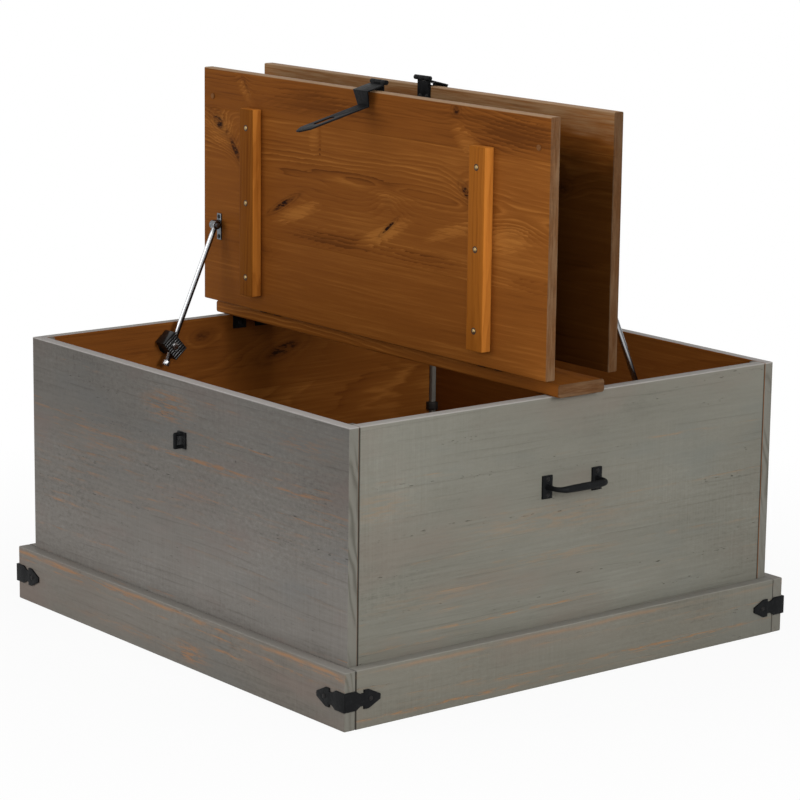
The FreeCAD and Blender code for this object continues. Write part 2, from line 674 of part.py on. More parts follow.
def hasp(side, turn):
    # Hinged strap: a leaf on the lid's outer face, a pin, and a strap bent round the lid's edge
    middle = "Sizes.hasp_offset"
    half_barrel = "Sizes.barrel_length / 2"
    half_middle = "Sizes.barrel_middle / 2"
    gap = "Sizes.knuckle_gap"
    face = f"-{lid_outer}"
    skin = f"Sizes.hasp_sheet - {lid_outer}"
    half_leaf = "Sizes.hasp_leaf_width / 2"
    neck = f"{hasp_z} - {hasp_shy} - {gap}"
    low = f"({lid_high} - Sizes.hasp_leaf_length)"
    leaf = [box(f"{middle} - {half_leaf}", f"{middle} + {half_leaf}", face, skin, low, neck)]
    spans = (
        (f"{middle} - {half_barrel}", f"{middle} - {half_middle} - {gap}"),
        (f"{middle} + {half_middle} + {gap}", f"{middle} + {half_barrel}"),
    )
    tabs = (
        (f"{middle} - {half_leaf}", f"{middle} - {half_middle} - {gap}"),
        (f"{middle} + {half_middle} + {gap}", f"{middle} + {half_leaf}"),
    )
    for span, tab in zip(spans, tabs):
        leaf.append(box(*tab, face, skin, neck, hasp_z))
        leaf.append(rod_along_x(*span, f"-{hasp_y}", hasp_z, "Sizes.barrel_radius"))
    pin_low = f"{middle} - {half_barrel} - Sizes.pin_overrun"
    pin_high = f"{middle} + {half_barrel} + Sizes.pin_overrun"
    cuts = [rod_along_x(pin_low, pin_high, f"-{hasp_y}", hasp_z, hasp_bore)]
    screws = []
    for row in (0, 1):
        for offset in (-1, 1):
            x = f"{middle} + {offset} * Sizes.hasp_screw_spread / 2"
            level = f"{low} + Sizes.hasp_screw_inset + {row} * Sizes.hasp_screw_pitch"
            screw, hole = fastener(x, face, level, "+y", "Sizes.hasp_sheet")
            screws.append(screw)
            cuts.append(hole)
    node(f"{side}_hasp_leaf", cut(fuse(*leaf), *cuts), turn=turn)
    pin = rod_along_x(pin_low, pin_high, f"-{hasp_y}", hasp_z, "Sizes.hasp_pin_radius")
    node(f"{side}_hasp_pin", pin, turn=turn)

    radius = "Sizes.barrel_radius"
    sheet_in = f"({radius} - Sizes.hasp_sheet)"
    drop = "Sizes.strap_first"
    half_root = "Sizes.strap_root_width / 2"
    half_strap = "Sizes.strap_width / 2"
    half_tip = "Sizes.strap_tip_width / 2"
    first = box(f"-{half_root}", half_root, sheet_in, radius, f"-{drop}", f"-{hasp_shy}")
    tab = box(f"-{half_middle}", half_middle, sheet_in, radius, f"-{hasp_shy}", "0")
    knuckle = rod_along_x(f"-{half_middle}", half_middle, "0", "0", radius)
    flap = doc.addObject("PartDesign::Body", "Flap")
    flap_corners = [
        (f"-{half_root}", sheet_in),
        (half_root, sheet_in),
        (half_strap, strap_inner),
        (f"-{half_strap}", strap_inner),
    ]
    pad(flap, outline(flap, "XY_Plane", flap_corners), "Sizes.hasp_sheet")
    place(flap, "0", "0", f"-{drop}")
    tongue = doc.addObject("PartDesign::Body", "Tongue")
    shoulder = f"Sizes.strap_tip_length - {drop} - Sizes.strap_length"
    tongue_corners = [
        (f"-{half_strap}", f"Sizes.hasp_sheet - {drop}"),
        (f"-{half_strap}", shoulder),
        (f"-{half_tip}", f"-{drop} - Sizes.strap_length"),
        (half_tip, f"-{drop} - Sizes.strap_length"),
        (half_strap, shoulder),
        (half_strap, f"Sizes.hasp_sheet - {drop}"),
    ]
    pad(tongue, outline(tongue, "XZ_Plane", tongue_corners), "Sizes.hasp_sheet")
    place(tongue, "0", strap_inner, "0")
    slot_half = "((Sizes.slot_length - Sizes.slot_width) / 2)"
    slot_radius = "Sizes.slot_width / 2"
    slot_out = f"{strap_inner} - Sizes.hasp_sheet"
    slot = [box(f"-{slot_radius}", slot_radius, slot_out, strap_inner,
                f"-{slot_drop} - {slot_half}", f"{slot_half} - {slot_drop}")]
    for end in (-1, 1):
        level = f"{end} * {slot_half} - {slot_drop}"
        slot.append(cylinder("0", strap_inner, level, "-y", slot_radius, "Sizes.hasp_sheet"))
    bore = rod_along_x(f"-{half_barrel}", half_barrel, "0", "0", hasp_bore)
    strap = cut(fuse(first, tab, knuckle, flap, tongue), fuse(*slot), bore)
    place(strap, middle, f"-{hasp_y}", hasp_z, "1; 0; 0", "Sizes.hasp_sag_angle - 90")
    node(f"{side}_hasp_strap", strap, turn=turn)
    return screws


def stay(side, turn):
    # Friction stay on the side wall: a rod hung from the lid slides through a swivelling brake block
    wall = f"-{inner_x}"
    line = f"-{stay_x}"
    eye_half = "(Sizes.eye_width / 2)"
    lug_high = f"({line} - {eye_half} - Sizes.knuckle_gap)"
    lug_low = f"({lug_high} - Sizes.lug_thickness)"
    plate_middle = f"({lug_high} - Sizes.lug_thickness / 2)"
    plate_level = f"({pivot_z} - Sizes.stay_plate_drop)"
    half_plate = "Sizes.stay_plate_width / 2"
    half_length = "Sizes.stay_plate_length / 2"
    plate_out = f"({lid_under} + Sizes.stay_plate_thickness)"
    plate = box(
        f"{plate_middle} - {half_plate}", f"{plate_middle} + {half_plate}",
        f"-{plate_out}", f"-{lid_under}",
        f"{plate_level} - {half_length}", f"{plate_level} + {half_length}",
    )
    web = box(
        lug_low, lug_high, f"-{pivot_y}", f"-{lid_under}",
        f"{pivot_z} - Sizes.eye_radius", f"{pivot_z} + Sizes.eye_radius",
    )
    round_end = rod_along_x(lug_low, lug_high, f"-{pivot_y}", f"{pivot_z}", "Sizes.eye_radius")
    cuts = [rod_along_x(lug_low, lug_high, f"-{pivot_y}", pivot_z, stay_bore)]
    screws = []
    for offset in (-1, 1):
        level = f"{plate_level} + {offset} * Sizes.stay_screw_spacing / 2"
        screw, hole = fastener(plate_middle, f"-{lid_under}", level, "-y", "Sizes.stay_plate_thickness")
        screws.append(screw)
        cuts.append(hole)
    node(f"{side}_stay_bracket", cut(fuse(plate, web, round_end), *cuts), turn=turn)
    node(f"{side}_stay_bracket_screws", *screws, turn=turn)

    head_low = f"{lug_low} - Sizes.stay_pin_head_height"
    eye_high = f"{line} + {eye_half}"
    cap_low = f"{eye_high} + Sizes.knuckle_gap"
    cap_high = f"{cap_low} + Sizes.stay_pin_head_height"
    pin = fuse(
        rod_along_x(head_low, cap_low, f"-{pivot_y}", pivot_z, "Sizes.stay_pin_radius"),
        rod_along_x(head_low, lug_low, f"-{pivot_y}", pivot_z, "Sizes.stay_pin_head"),
        rod_along_x(cap_low, cap_high, f"-{pivot_y}", pivot_z, "Sizes.stay_pin_head"),
    )
    node(f"{side}_stay_pin", pin, turn=turn)

    bar = cylinder("0", "0", "0", "-z", "Sizes.rod_radius", rod_length)
    eye = rod_along_x(f"-{eye_half}", eye_half, "0", "0", "Sizes.eye_radius")
    rod = cut(fuse(bar, eye), rod_along_x(f"-{eye_half}", eye_half, "0", "0", stay_bore))
    place(rod, line, f"-{pivot_y}", pivot_z, "1; 0; 0", f"-{rod_lean}")
    node(f"{side}_stay_rod", rod, turn=turn)
    stop = cylinder("0", "0", f"-{rod_length}", "-z", "Sizes.stop_radius", "Sizes.stop_length")
    stop_seat = group(stop)
    place(stop_seat, line, f"-{pivot_y}", pivot_z, "1; 0; 0", f"-{rod_lean}")
    node(f"{side}_stay_stop", stop_seat, turn=turn)

    plate_face = f"({wall} + Sizes.wall_plate_thickness)"
    stub_end = f"({plate_face} + Sizes.stub_length)"
    block_low = f"({plate_face} + Sizes.knuckle_gap - {line})"
    block_high = "(Sizes.rod_radius + Sizes.block_cover)"
    half_block = "Sizes.block_width / 2"
    half_along = "Sizes.block_length / 2"
    # the housing sits askew on the rod
    housing = group(box(block_low, block_high, f"-{half_block}", half_block, f"-{half_along}", half_along))
    place(housing, "0", "0", "0", "1; 0; 0", "-Sizes.block_turn_angle")
    rod_bore = "Sizes.rod_radius + Sizes.rod_clearance"
    passage_low = f"-({half_block} + {half_along})"
    passage = cylinder("0", "0", passage_low, "+z", rod_bore, "Sizes.block_width + Sizes.block_length")
    socket_high = f"{stub_end} + Sizes.knuckle_gap - {line}"
    socket = rod_along_x(block_low, socket_high, "0", "0", "Sizes.stub_radius + Sizes.pin_clearance")
    brake_bore = rod_along_x("0", block_high, "0", "0", "Sizes.brake_radius + Sizes.pin_clearance")
    block = cut(housing, fuse(passage, brake_bore), socket)
    place(block, line, f"-{block_y}", block_z, "1; 0; 0", f"-{rod_lean}")
    node(f"{side}_stay_block", block, turn=turn)
    brake_tip = "Sizes.rod_radius + Sizes.knuckle_gap"
    head_top = f"{block_high} + Sizes.brake_head_height"
    brake = fuse(
        rod_along_x(brake_tip, block_high, "0", "0", "Sizes.brake_radius"),
        rod_along_x(block_high, head_top, "0", "0", "Sizes.brake_head_radius"),
    )
    place(brake, line, f"-{block_y}", block_z, "1; 0; 0", f"-{rod_lean}")
    node(f"{side}_stay_brake_screw", brake, turn=turn)

    disc = rod_along_x(wall, plate_face, f"-{block_y}", block_z, "Sizes.wall_plate_radius")
    stub = rod_along_x(plate_face, stub_end, f"-{block_y}", block_z, "Sizes.stub_radius")
    holes = []
    wall_screws = []
    for offset in (-1, 1):
        level = f"{block_z} + {offset} * Sizes.wall_screw_offset"
        screw, hole = fastener(wall, f"-{block_y}", level, "+x", "Sizes.wall_plate_thickness", flush=True)
        wall_screws.append(screw)
        holes.append(hole)
    fixed = []
    for pieces in ([cut(fuse(disc, stub), *holes)], wall_screws):
        bunch = group(*pieces)
        if turn is not None:
            bunch.Placement = turn
        fixed.append(bunch)
    return fixed


carcass()
bottom()
inner_corners()
centre_board()
inner_screws = board_brackets()
face_screws = handle("right", 1) + handle("left", -1)
corner_irons()
board_leaves = []
hinge_pins = []
hinge_board_screws = []
wall_plates = []
for side, turn in (("front", None), ("back", half_turn)):
    lid(side, turn)
    fixed_hinge, lid_iron_screws = hinges(side, turn)
    board_leaves.append(fixed_hinge[0])
    hinge_pins.append(fixed_hinge[1])
    hinge_board_screws.append(fixed_hinge[2])
    node(f"{side}_lid_iron_screws", *lid_iron_screws, *hasp(side, turn), turn=turn)
    plate, plate_screws = stay(side, turn)
    wall_plates.append(plate)
    inner_screws.append(plate_screws)
    face_screws.append(staple(side, turn))
node("hinge_board_leaves", *board_leaves)
node("hinge_pins", *hinge_pins)
node("hinge_board_screws", *hinge_board_screws)
node("stay_wall_plates", *wall_plates)
node("inner_screws", *inner_screws)
node("face_iron_screws", *face_screws)

doc.recompute()
for piece in doc.Objects:
    if "Invalid" in piece.State or "Error" in piece.State:
        raise RuntimeError(f"{piece.Label} failed: {piece.State}")
for label, piece in nodes.items():
    if piece.Shape.isNull() or not piece.Shape.isValid():
        raise RuntimeError(f"{label} has no valid shape")

os.makedirs("parts", exist_ok=True)
for label, piece in nodes.items():
    piece.Shape.exportStep(f"parts/{label}.step")
print(f"{len(nodes)} sub-parts written")
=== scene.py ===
import bpy
import bmesh
import json
import math
from mathutils import Matrix, Vector


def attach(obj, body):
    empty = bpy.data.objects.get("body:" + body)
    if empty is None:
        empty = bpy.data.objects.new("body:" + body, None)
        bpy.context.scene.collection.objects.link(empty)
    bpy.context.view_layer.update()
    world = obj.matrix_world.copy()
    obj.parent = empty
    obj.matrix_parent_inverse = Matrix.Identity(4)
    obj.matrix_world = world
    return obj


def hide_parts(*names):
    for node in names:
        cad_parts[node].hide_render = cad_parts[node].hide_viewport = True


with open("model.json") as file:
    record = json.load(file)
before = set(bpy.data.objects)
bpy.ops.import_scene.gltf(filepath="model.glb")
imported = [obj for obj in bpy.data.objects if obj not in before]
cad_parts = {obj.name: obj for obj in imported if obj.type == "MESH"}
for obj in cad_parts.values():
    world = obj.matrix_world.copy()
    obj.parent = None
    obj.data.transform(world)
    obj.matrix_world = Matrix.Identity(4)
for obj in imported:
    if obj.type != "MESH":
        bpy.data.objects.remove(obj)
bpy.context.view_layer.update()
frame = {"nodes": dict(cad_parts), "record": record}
nodes = frame["nodes"]
record = frame["record"]
bodyOf = {node: body for body, group in record["behaviour"]["bodies"].items() for node in group}
scene = bpy.context.scene
scene.view_settings.view_transform = "Standard"
print("frame loaded:", len(nodes), "nodes")


# a node of any tree: its settings, and the values or links of its sockets; a node stands for its first output
def addNode(tree, kind, settings=None, inputs=None):
    node = tree.nodes.new(kind)
    for key, value in (settings or {}).items():
        setattr(node, key, value)
    for key, value in (inputs or {}).items():
        socket = node.inputs[key]
        for source in value if isinstance(value, list) else [value]:
            source = source.outputs[0] if isinstance(source, bpy.types.Node) else source
            if isinstance(source, bpy.types.NodeSocket):
                tree.links.new(source, socket)
            else:
                socket.default_value = source
    return node


def freshTree(owner):
    # the empty node tree of a material or a world
    owner.use_nodes = True
    owner.node_tree.nodes.clear()
    return owner.node_tree


# shader maths on sockets
class Wire:
    def __init__(self, bench, socket):
        self.bench = bench
        self.socket = socket

    def calc(self, operation, *others):
        return self.bench.add("ShaderNodeMath", {"operation": operation}, dict(enumerate((self, *others))))

    def __add__(self, other):
        return self.calc("ADD", other)

    def __sub__(self, other):
        return self.calc("SUBTRACT", other)

    def __rsub__(self, other):
        return self.calc("MULTIPLY", -1.0) + other

    def __mul__(self, other):
        return self.calc("MULTIPLY", other)

    def __truediv__(self, other):
        return self.calc("DIVIDE", other)

    def __pow__(self, other):
        return self.calc("POWER", other)

    def __abs__(self):
        return self.calc("ABSOLUTE")

    __radd__ = __add__
    __rmul__ = __mul__

    def step(self, low, high):
        # 0 below low, 1 above high, smooth between
        settings = {"interpolation_type": "SMOOTHSTEP", "data_type": "FLOAT"}
        inputs = {"Value": self, "From Min": low, "From Max": high}
        return self.bench.add("ShaderNodeMapRange", settings, inputs)

    def beyond(self, edge, band):
        # fades in over a band near an edge
        return self.step(edge + band[0], edge + band[1])

    def fall(self, rate):
        # 1 at zero, falling away
        return (self * -rate).calc("EXPONENT")


mixSockets = {"factor": 0, "low": 6, "high": 7, "result": 2}  # a Mix node's sockets for colours


class Bench:
    # one material being built
    def __init__(self, name):
        self.material = bpy.data.materials.new(name)
        self.tree = freshTree(self.material)
        self.place = self.add("ShaderNodeTexCoord", {}, {}, out="Object")
        parts = addNode(self.tree, "ShaderNodeSeparateXYZ", {}, {0: self.place.socket}).outputs
        self.x, self.y, self.z = (Wire(self, parts[axis]) for axis in "XYZ")

    def add(self, kind, settings, inputs, out=0):
        plugs = {key: value.socket if isinstance(value, Wire) else value for key, value in inputs.items()}
        return Wire(self, addNode(self.tree, kind, settings, plugs).outputs[out])

    def noise(self, vector, scale=1.0, detail=3.0, rough=0.55):
        inputs = {"Vector": vector, "Scale": scale, "Detail": detail, "Roughness": rough}
        return self.add("ShaderNodeTexNoise", {}, inputs)

    def weave(self, place, scales, shift=0.0, detail=3.0, rough=0.55):
        # noise with a scale of its own on each axis
        x, y, z = (value * scale for value, scale in zip(place, scales))
        vector = self.add("ShaderNodeCombineXYZ", {}, {0: (x + shift) if shift else x, 1: y, 2: z})
        return self.noise(vector, detail=detail, rough=rough)

    def random(self, value):
        return self.add("ShaderNodeTexWhiteNoise", {"noise_dimensions": "1D"}, {"W": value}, out="Value")

    def blend(self, amount, low, high):
        # colours: amount 0 gives low, 1 gives high
        low, high = ((*colour, 1.0) if isinstance(colour, tuple) else colour for colour in (low, high))
        settings = {"data_type": "RGBA", "clamp_factor": True}
        inputs = {mixSockets["factor"]: amount, mixSockets["low"]: low, mixSockets["high"]: high}
        return self.add("ShaderNodeMix", settings, inputs, out=mixSockets["result"])

    def shade(self, colour, value):
        # multiplies a colour by a number
        return self.add("ShaderNodeVectorMath", {"operation": "SCALE"}, {0: colour, "Scale": value})

    def tint(self, colour, factors):
        return self.add("ShaderNodeVectorMath", {"operation": "MULTIPLY"}, {0: colour, 1: factors})

    def finish(self, colour, roughness, height, relief, gloss=0.5, metal=0.0):
        bump = self.add("ShaderNodeBump", {}, {"Height": height, "Strength": 1.0, "Distance": relief})
        shader = self.add("ShaderNodeBsdfPrincipled", {}, {
            "Base Color": colour, "Roughness": roughness, "Normal": bump,
            "Specular IOR Level": gloss, "Metallic": metal,
        })
        addNode(self.tree, "ShaderNodeOutputMaterial", {}, {0: shader.socket})
        return self.material


# stained pine
stain = {
    "middle": (0.184, 0.059, 0.0096),
    "light": (0.303, 0.114, 0.0218),
    "dark": (0.089, 0.0262, 0.0045),
    "heart": (0.052, 0.015, 0.004),
    "knot": (0.01, 0.004, 0.002),
    "raw": (0.098, 0.051, 0.025),
    "worn": (0.182, 0.112, 0.062),
    # the next two colours are painted light: a lit strip below a lid's free edge, drawn as chafed stain, and
    # a highlight along that edge
    "chafed": (0.285, 0.165, 0.08),
    "pale": (0.46, 0.3, 0.18),
    "rough": 0.56, "roughSpread": 0.16, "gloss": 0.02, "relief": 0.0005,
    # shares of each noise and ring in the tone, and the tones where the colours change
    "cloud": 0.75, "band": 0.5, "fibre": 0.74, "board": 0.16, "late": 0.36, "early": 0.24, "level": 0.59,
    "toMiddle": (0.02, 0.52), "toLight": (0.48, 1.06),
    "seamBand": (0.0002, 0.0008), "seamShade": 0.1, "toneBand": (-0.0008, 0.0008), "edgeShare": 0.9,
}
# scales along and across the grain and through the board
stainNoise = {
    "wander": {"scales": (0.8, 7.0, 1.0), "detail": 1.0},
    "sink": {"scales": (1.1, 3.0, 1.0), "shift": 8.0, "detail": 1.0},
    "ripple": {"scales": (5.0, 26.0, 26.0)},
    "ragged": {"scales": (20.0, 230.0, 90.0), "detail": 4.0, "rough": 0.66},
    "shown": {"scales": (1.6, 14.0, 14.0), "shift": 4.0, "detail": 2.0},
    "fibre": {"scales": (7.0, 240.0, 240.0), "detail": 4.0, "rough": 0.62},
    "pores": {"scales": (16.0, 900.0, 900.0), "detail": 2.0},
    "band": {"scales": (0.9, 22.0, 22.0), "shift": 2.0},
    "cloud": {"scales": (2.4, 9.0, 9.0), "detail": 4.0},
    "torn": {"scales": (70.0, 210.0, 210.0), "rough": 0.65},
    "edgeStreak": {"scales": (34.0, 34.0, 520.0), "detail": 4.0, "rough": 0.65},
    "edgePatch": {"scales": (12.0, 12.0, 60.0)},
    "drift": {"scales": (5.0, 22.0, 1.0), "detail": 4.0, "rough": 0.6},
    "thin": {"scales": (10.0, 260.0, 1.0), "detail": 4.0, "rough": 0.65},
}
# growth rings round a pith that wanders under each plank, in metres
growth = {
    "rings": 150.0, "boardShift": 5.0, "pithSpread": 0.8, "pithEdge": 0.1, "pithWander": 0.16,
    "pithDepth": 0.12, "ripple": 0.018, "fanPush": 0.016, "shown": (0.34, 0.66),
    "latePower": 2.5, "lateEnd": (0.93, 1.0), "earlyStart": (0.0, 0.12), "earlyEnd": (0.14, 0.5),
}
knotForm = {
    "swerve": 0.16, "push": 1.5, "heart": (0.1, 1.35), "rimAt": 1.35, "rimFall": 5.0, "rimShare": 0.5,
}
fanForm = {"slant": 0.33, "ragged": 2.4, "edge": (-0.15, 1.35)}


def weighed(*parts):
    # noises about their middle, each with its share
    (first, share), *others = parts
    return sum(((value - 0.5) * weight for value, weight in others), (first - 0.5) * share)


def fanBend(bench, along, across, depth, fans):
    # pale and dark fans where the wood bends out of the face
    slant = across - along * fanForm["slant"]
    ragged = bench.weave((along, slant, depth), **stainNoise["ragged"])
    ragged = ragged * fanForm["ragged"] - fanForm["ragged"] / 2
    bend = 0.0
    for fanAlong, fanAcross, halfLong, halfTall, lean, strength in fans:
        dx = along - fanAlong
        dy = (across - fanAcross - dx * lean) / halfTall
        dx = dx / halfLong
        bend = bend + (1.0 - (dx * dx + dy * dy + ragged).step(*fanForm["edge"])) * strength
    return bend


def knotSwerve(radius, along, across, knots):
    # the rings bend round each knot, which has a dark heart and a rim
    hearts, rims = [], []
    for knotAlong, knotAcross, size, lean, stretch, dark in knots:
        dx = along - knotAlong
        dy = across - knotAcross - dx * lean
        far = (dx * dx * stretch + dy * dy) / (size * size)
        radius = radius + far.fall(knotForm["swerve"]) * (size * knotForm["push"])
        hearts.append((1.0 - far.step(*knotForm["heart"])) * dark)
        rim = abs(far.calc("SQRT") - knotForm["rimAt"]).fall(knotForm["rimFall"])
        rims.append(rim * (dark * knotForm["rimShare"]))
    return radius, hearts, rims


def pineGrain(bench, along, across, depth, plank, firstSeam, knots, seed, lift=0.0, fans=(), tones=()):
    board = (across - firstSeam) / plank
    row = board.calc("FLOOR")
    chance = bench.random(row + seed)
    swap = bench.random(row * 3.0 + seed + 0.37)
    run = along + chance * growth["boardShift"] + seed

    def look(key):
        return bench.weave((run, across, depth), **stainNoise[key])

    wander = bench.weave((run, chance, 0.0), **stainNoise["wander"])
    sink = bench.weave((run, chance, 0.0), **stainNoise["sink"])
    pith = (row + swap * growth["pithSpread"] + growth["pithEdge"]) * plank
    side = across - firstSeam - pith + (wander - 0.5) * growth["pithWander"]
    under = sink * growth["pithDepth"] + depth
    ripple = look("ripple")
    radius = (side * side + under * under).calc("SQRT") + (ripple - 0.5) * growth["ripple"]
    if fans:
        bend = fanBend(bench, along, across, depth, fans)
        radius = radius + bend * growth["fanPush"]
    radius, hearts, rims = knotSwerve(radius, along, across, knots)
    count = radius * growth["rings"]
    ring = count.calc("FRACT")
    each = bench.random(count.calc("FLOOR") + seed)
    shown = look("shown").step(*growth["shown"])
    late = ring ** growth["latePower"] * (1.0 - ring.step(*growth["lateEnd"]))
    late = late * (shown * 0.85 + 0.12) * (each * 0.9 + 0.2)
    early = ring.step(*growth["earlyStart"]) * (1.0 - ring.step(*growth["earlyEnd"])) * shown * each
    if tones:
        # the lowest board is plain
        lively = across.beyond(tones[0][0], (-0.01, 0.03)) * 0.6 + 0.4
        late = late * lively
        early = early * lively
    fibre = look("fibre")
    pores = look("pores")
    band = look("band")
    cloud = look("cloud")
    tone = weighed(
        (cloud, stain["cloud"]), (band, stain["band"]), (fibre, stain["fibre"]), (chance, stain["board"]),
    )
    tone = tone - late * stain["late"] + early * stain["early"] + (stain["level"] + lift)
    for level, amount in tones:
        tone = tone + across.beyond(level, stain["toneBand"]) * amount
    if fans:
        tone = tone + bend * (fibre * 1.1 + 0.35) - abs(bend) * late * 0.5
    colour = bench.blend(tone.step(*stain["toMiddle"]), stain["dark"], stain["middle"])
    colour = bench.blend(tone.step(*stain["toLight"]), colour, stain["light"])
    gap = (board - row).calc("PINGPONG", 0.5) * plank
    seam = 1.0 - gap.step(*stain["seamBand"])
    height = fibre * 0.5 + late * 0.25 + pores * 0.25 - seam * 0.3
    if hearts:
        heart = sum(hearts[1:], hearts[0])
        torn = bench.weave((along, across, depth), **stainNoise["torn"]).step(0.3, 0.6)
        colour = bench.blend(sum(rims[1:], rims[0]) * (torn * 0.6 + 0.4), colour, stain["heart"])
        colour = bench.blend(heart * (torn * 0.5 + 0.5), colour, stain["heart"])
        colour = bench.blend((heart * torn).step(0.45, 0.85), colour, stain["knot"])
        height = height - heart * 0.5
    colour = bench.blend(seam * stain["seamShade"], colour, stain["knot"])
    roughness = fibre * stain["roughSpread"] + stain["rough"] - stain["roughSpread"] / 2 + seam * 0.3
    return colour, roughness, height


def wornEdge(bench, colour, mask, place):
    # raw end and edge wood that the stain took less of, streaked along the edge
    streak = bench.weave(place, **stainNoise["edgeStreak"])
    patch = bench.weave(place, **stainNoise["edgePatch"])
    raw = bench.blend((streak * 0.6 + patch * 0.4).step(0.36, 0.66), stain["raw"], stain["worn"])
    return bench.blend(mask * (patch * 0.5 + 0.65) * stain["edgeShare"], colour, raw)


# grey wash over pine
wash = {
    "middle": (0.186, 0.175, 0.152),
    "light": (0.236, 0.226, 0.2),
    "dark": (0.124, 0.115, 0.099),
    "rub": (0.33, 0.18, 0.092),
    "rose": (0.2, 0.16, 0.137),
    "cool": (0.16, 0.165, 0.155),
    "grain": (0.088, 0.077, 0.064),
    "tick": (0.045, 0.036, 0.03),
    # the two rim colours are painted highlights, for the top edges of the plinths and the walls
    "rim": (0.3, 0.29, 0.268),
    "topRim": (0.425, 0.402, 0.385),
    "joint": (0.022, 0.019, 0.016),
    "endPale": (0.184, 0.178, 0.152),
    "endDark": (0.104, 0.099, 0.08),
    "lines": 95.0, "rough": 0.66, "roughSpread": 0.14, "gloss": 0.04,
    "toMiddle": (0.0, 0.55), "toLight": (0.45, 1.0),
    "jointShare": 0.85, "endShare": 0.85, "skirtRimShare": 0.4, "shadeBand": (0.08, 0.42),
}
washNoise = {
    "cloud": {"scales": (3.0, 6.0, 6.0), "detail": 4.0},
    "fibre": {"scales": (9.0, 220.0, 220.0), "detail": 4.0, "rough": 0.65},
    "speck": {"scales": (110.0, 170.0, 170.0), "detail": 4.0, "rough": 0.75},
    "comb": {"scales": (420.0, 12.0, 420.0), "detail": 2.0},
    "sawn": {"scales": (2.6, 5.0, 5.0), "shift": 6.0, "detail": 1.0},
    "raspy": {"scales": (2.2, 5.0, 5.0), "shift": 9.0, "detail": 2.0},
    "rosy": {"scales": (4.0, 11.0, 11.0), "shift": 3.1, "detail": 4.0},
    "flow": {"scales": (1.3, 7.0, 7.0)},
    "runs": {"scales": (4.5, 37.0, 1.0), "detail": 4.0, "rough": 0.62},
    "chips": {"scales": (26.0, 320.0, 320.0), "detail": 4.0, "rough": 0.68},
    "ticks": {"scales": (80.0, 500.0, 500.0), "detail": 2.0},
    "tickRows": {"scales": (3.0, 60.0, 60.0), "shift": 1.0, "detail": 2.0},
    "endBow": {"scales": (11.0, 30.0, 1.0), "detail": 1.0},
    "endShown": {"scales": (7.0, 9.0, 1.0), "shift": 2.0, "detail": 2.0},
    "chafe": {"scales": (7.0, 60.0, 60.0), "detail": 4.0, "rough": 0.65},
    "waver": {"scales": (12.0, 1.0, 1.0)},
}
